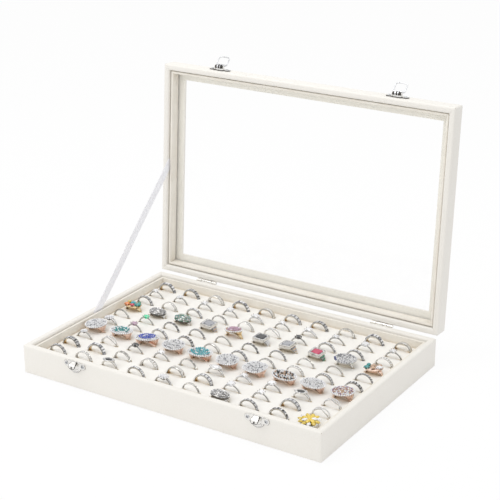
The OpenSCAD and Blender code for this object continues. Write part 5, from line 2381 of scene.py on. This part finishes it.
class Stage:
    """The pale floor, the lamps and the camera."""

    def __init__(self, scene: Scene) -> None:
        """Take the scene that everything goes into."""
        self.scene = scene

    def floor(self) -> None:
        """Lay the floor, which the camera sees as white apart from the case's shadow."""
        bpy.ops.mesh.primitive_plane_add(size=6)
        ground = bpy.context.object
        ground.name = "floor"
        material = bpy.data.materials.new("matt white sweep")
        tree = cleared(material)
        matt = add(tree, "ShaderNodeBsdfDiffuse", {"Color": linear("#FFFFFF")}).outputs[0]
        glow = add(tree, "ShaderNodeEmission", {"Color": (1, 1, 1, 1), "Strength": 1.0}).outputs[0]
        share = maths(tree, "MULTIPLY", shown(tree), 0.92)
        mixed = add(tree, "ShaderNodeMixShader", {0: share, 1: matt, 2: glow})
        add(tree, "ShaderNodeOutputMaterial", {"Surface": mixed.outputs[0]})
        ground.data.materials.append(material)

    def sky(self) -> None:
        """Set the world: white where it is seen, and softer where it lights the case."""
        world = bpy.data.worlds.new("studio")
        self.scene.world = world
        tree = cleared(world)
        power = between(tree, shown(tree), 0.74, 1.0)
        sky = add(tree, "ShaderNodeBackground", {"Color": (1, 1, 1, 1), "Strength": power})
        add(tree, "ShaderNodeOutputWorld", {"Surface": sky.outputs[0]})

    def lamp(self, name: str, power: float, size: float, place: Point, aim: Point = (0, 0, 0.08)) -> None:
        """Hang a soft lamp.

        Args:
            name: The lamp's name.
            power: Its power, in watts.
            size: The side of its square, in metres.
            place: Where it hangs, in metres.
            aim: What it points at.
        """
        light = bpy.data.lights.new(name, "AREA")
        light.energy, light.size = power, size
        made = linked(name, light)
        made.location = place
        made.rotation_euler = (Vector(aim) - Vector(place)).to_track_quat("-Z", "Y").to_euler()

    def camera(self, lens: float, place: Point, azimuth: float, elevation: float, roll: float) -> None:
        """Set the camera.

        Args:
            lens: Its focal length on a 36 mm wide sensor, in millimetres.
            place: Where it stands, in metres.
            azimuth: How far it stands round towards +x from the front, in degrees.
            elevation: How far it looks down, in degrees.
            roll: Its roll, in degrees.
        """
        data = bpy.data.cameras.new("camera")
        data.lens, data.sensor_width, data.clip_end = lens, 36, 20
        made = linked("camera", data)
        turn = turned("Z", azimuth) @ turned("X", 90 - elevation) @ turned("Z", roll)
        made.matrix_world = Matrix.Translation(Vector(place)) @ turn
        self.scene.camera = made

    def build(self) -> None:
        """Set the whole stage."""
        self.floor()
        self.sky()
        self.lamp("key", 4.5, 0.9, (-0.7, -1.0, 1.3))
        self.lamp("top", 4.5, 0.8, (-0.1, 0.0, 1.4))
        self.camera(99.42, (0.7037, -1.078, 0.6247), 32.264, 20.952, 0.049)
        self.scene.view_settings.view_transform = "Standard"


def main() -> None:
    """Build all pieces, dress the frame's own nodes and set the stage."""
    logging.basicConfig(level=logging.INFO, format="%(message)s")
    case = Case()
    case.build_tray()
    case.build_lid()
    case.build_pane()
    Lining().build()
    rings = RingSet()
    SlitPad().build(rings)
    RibbonStay().build(case)
    Hardware().build()
    sides = ("front", "back", "left", "right")
    dress([f"{body}_{side}_wall" for body in ("tray", "lid") for side in sides], GREY_BOARD)
    dress(["base_board", "pad_support", "lid_top_panel"], GREY_BOARD)
    dress(["base_sheet"], LINING_SHEET)
    dress(["glass_seat"], SEAT_PAPER)
    rings.build()
    Stage(bpy.context.scene).build()


if __name__ == "__main__":
    main()
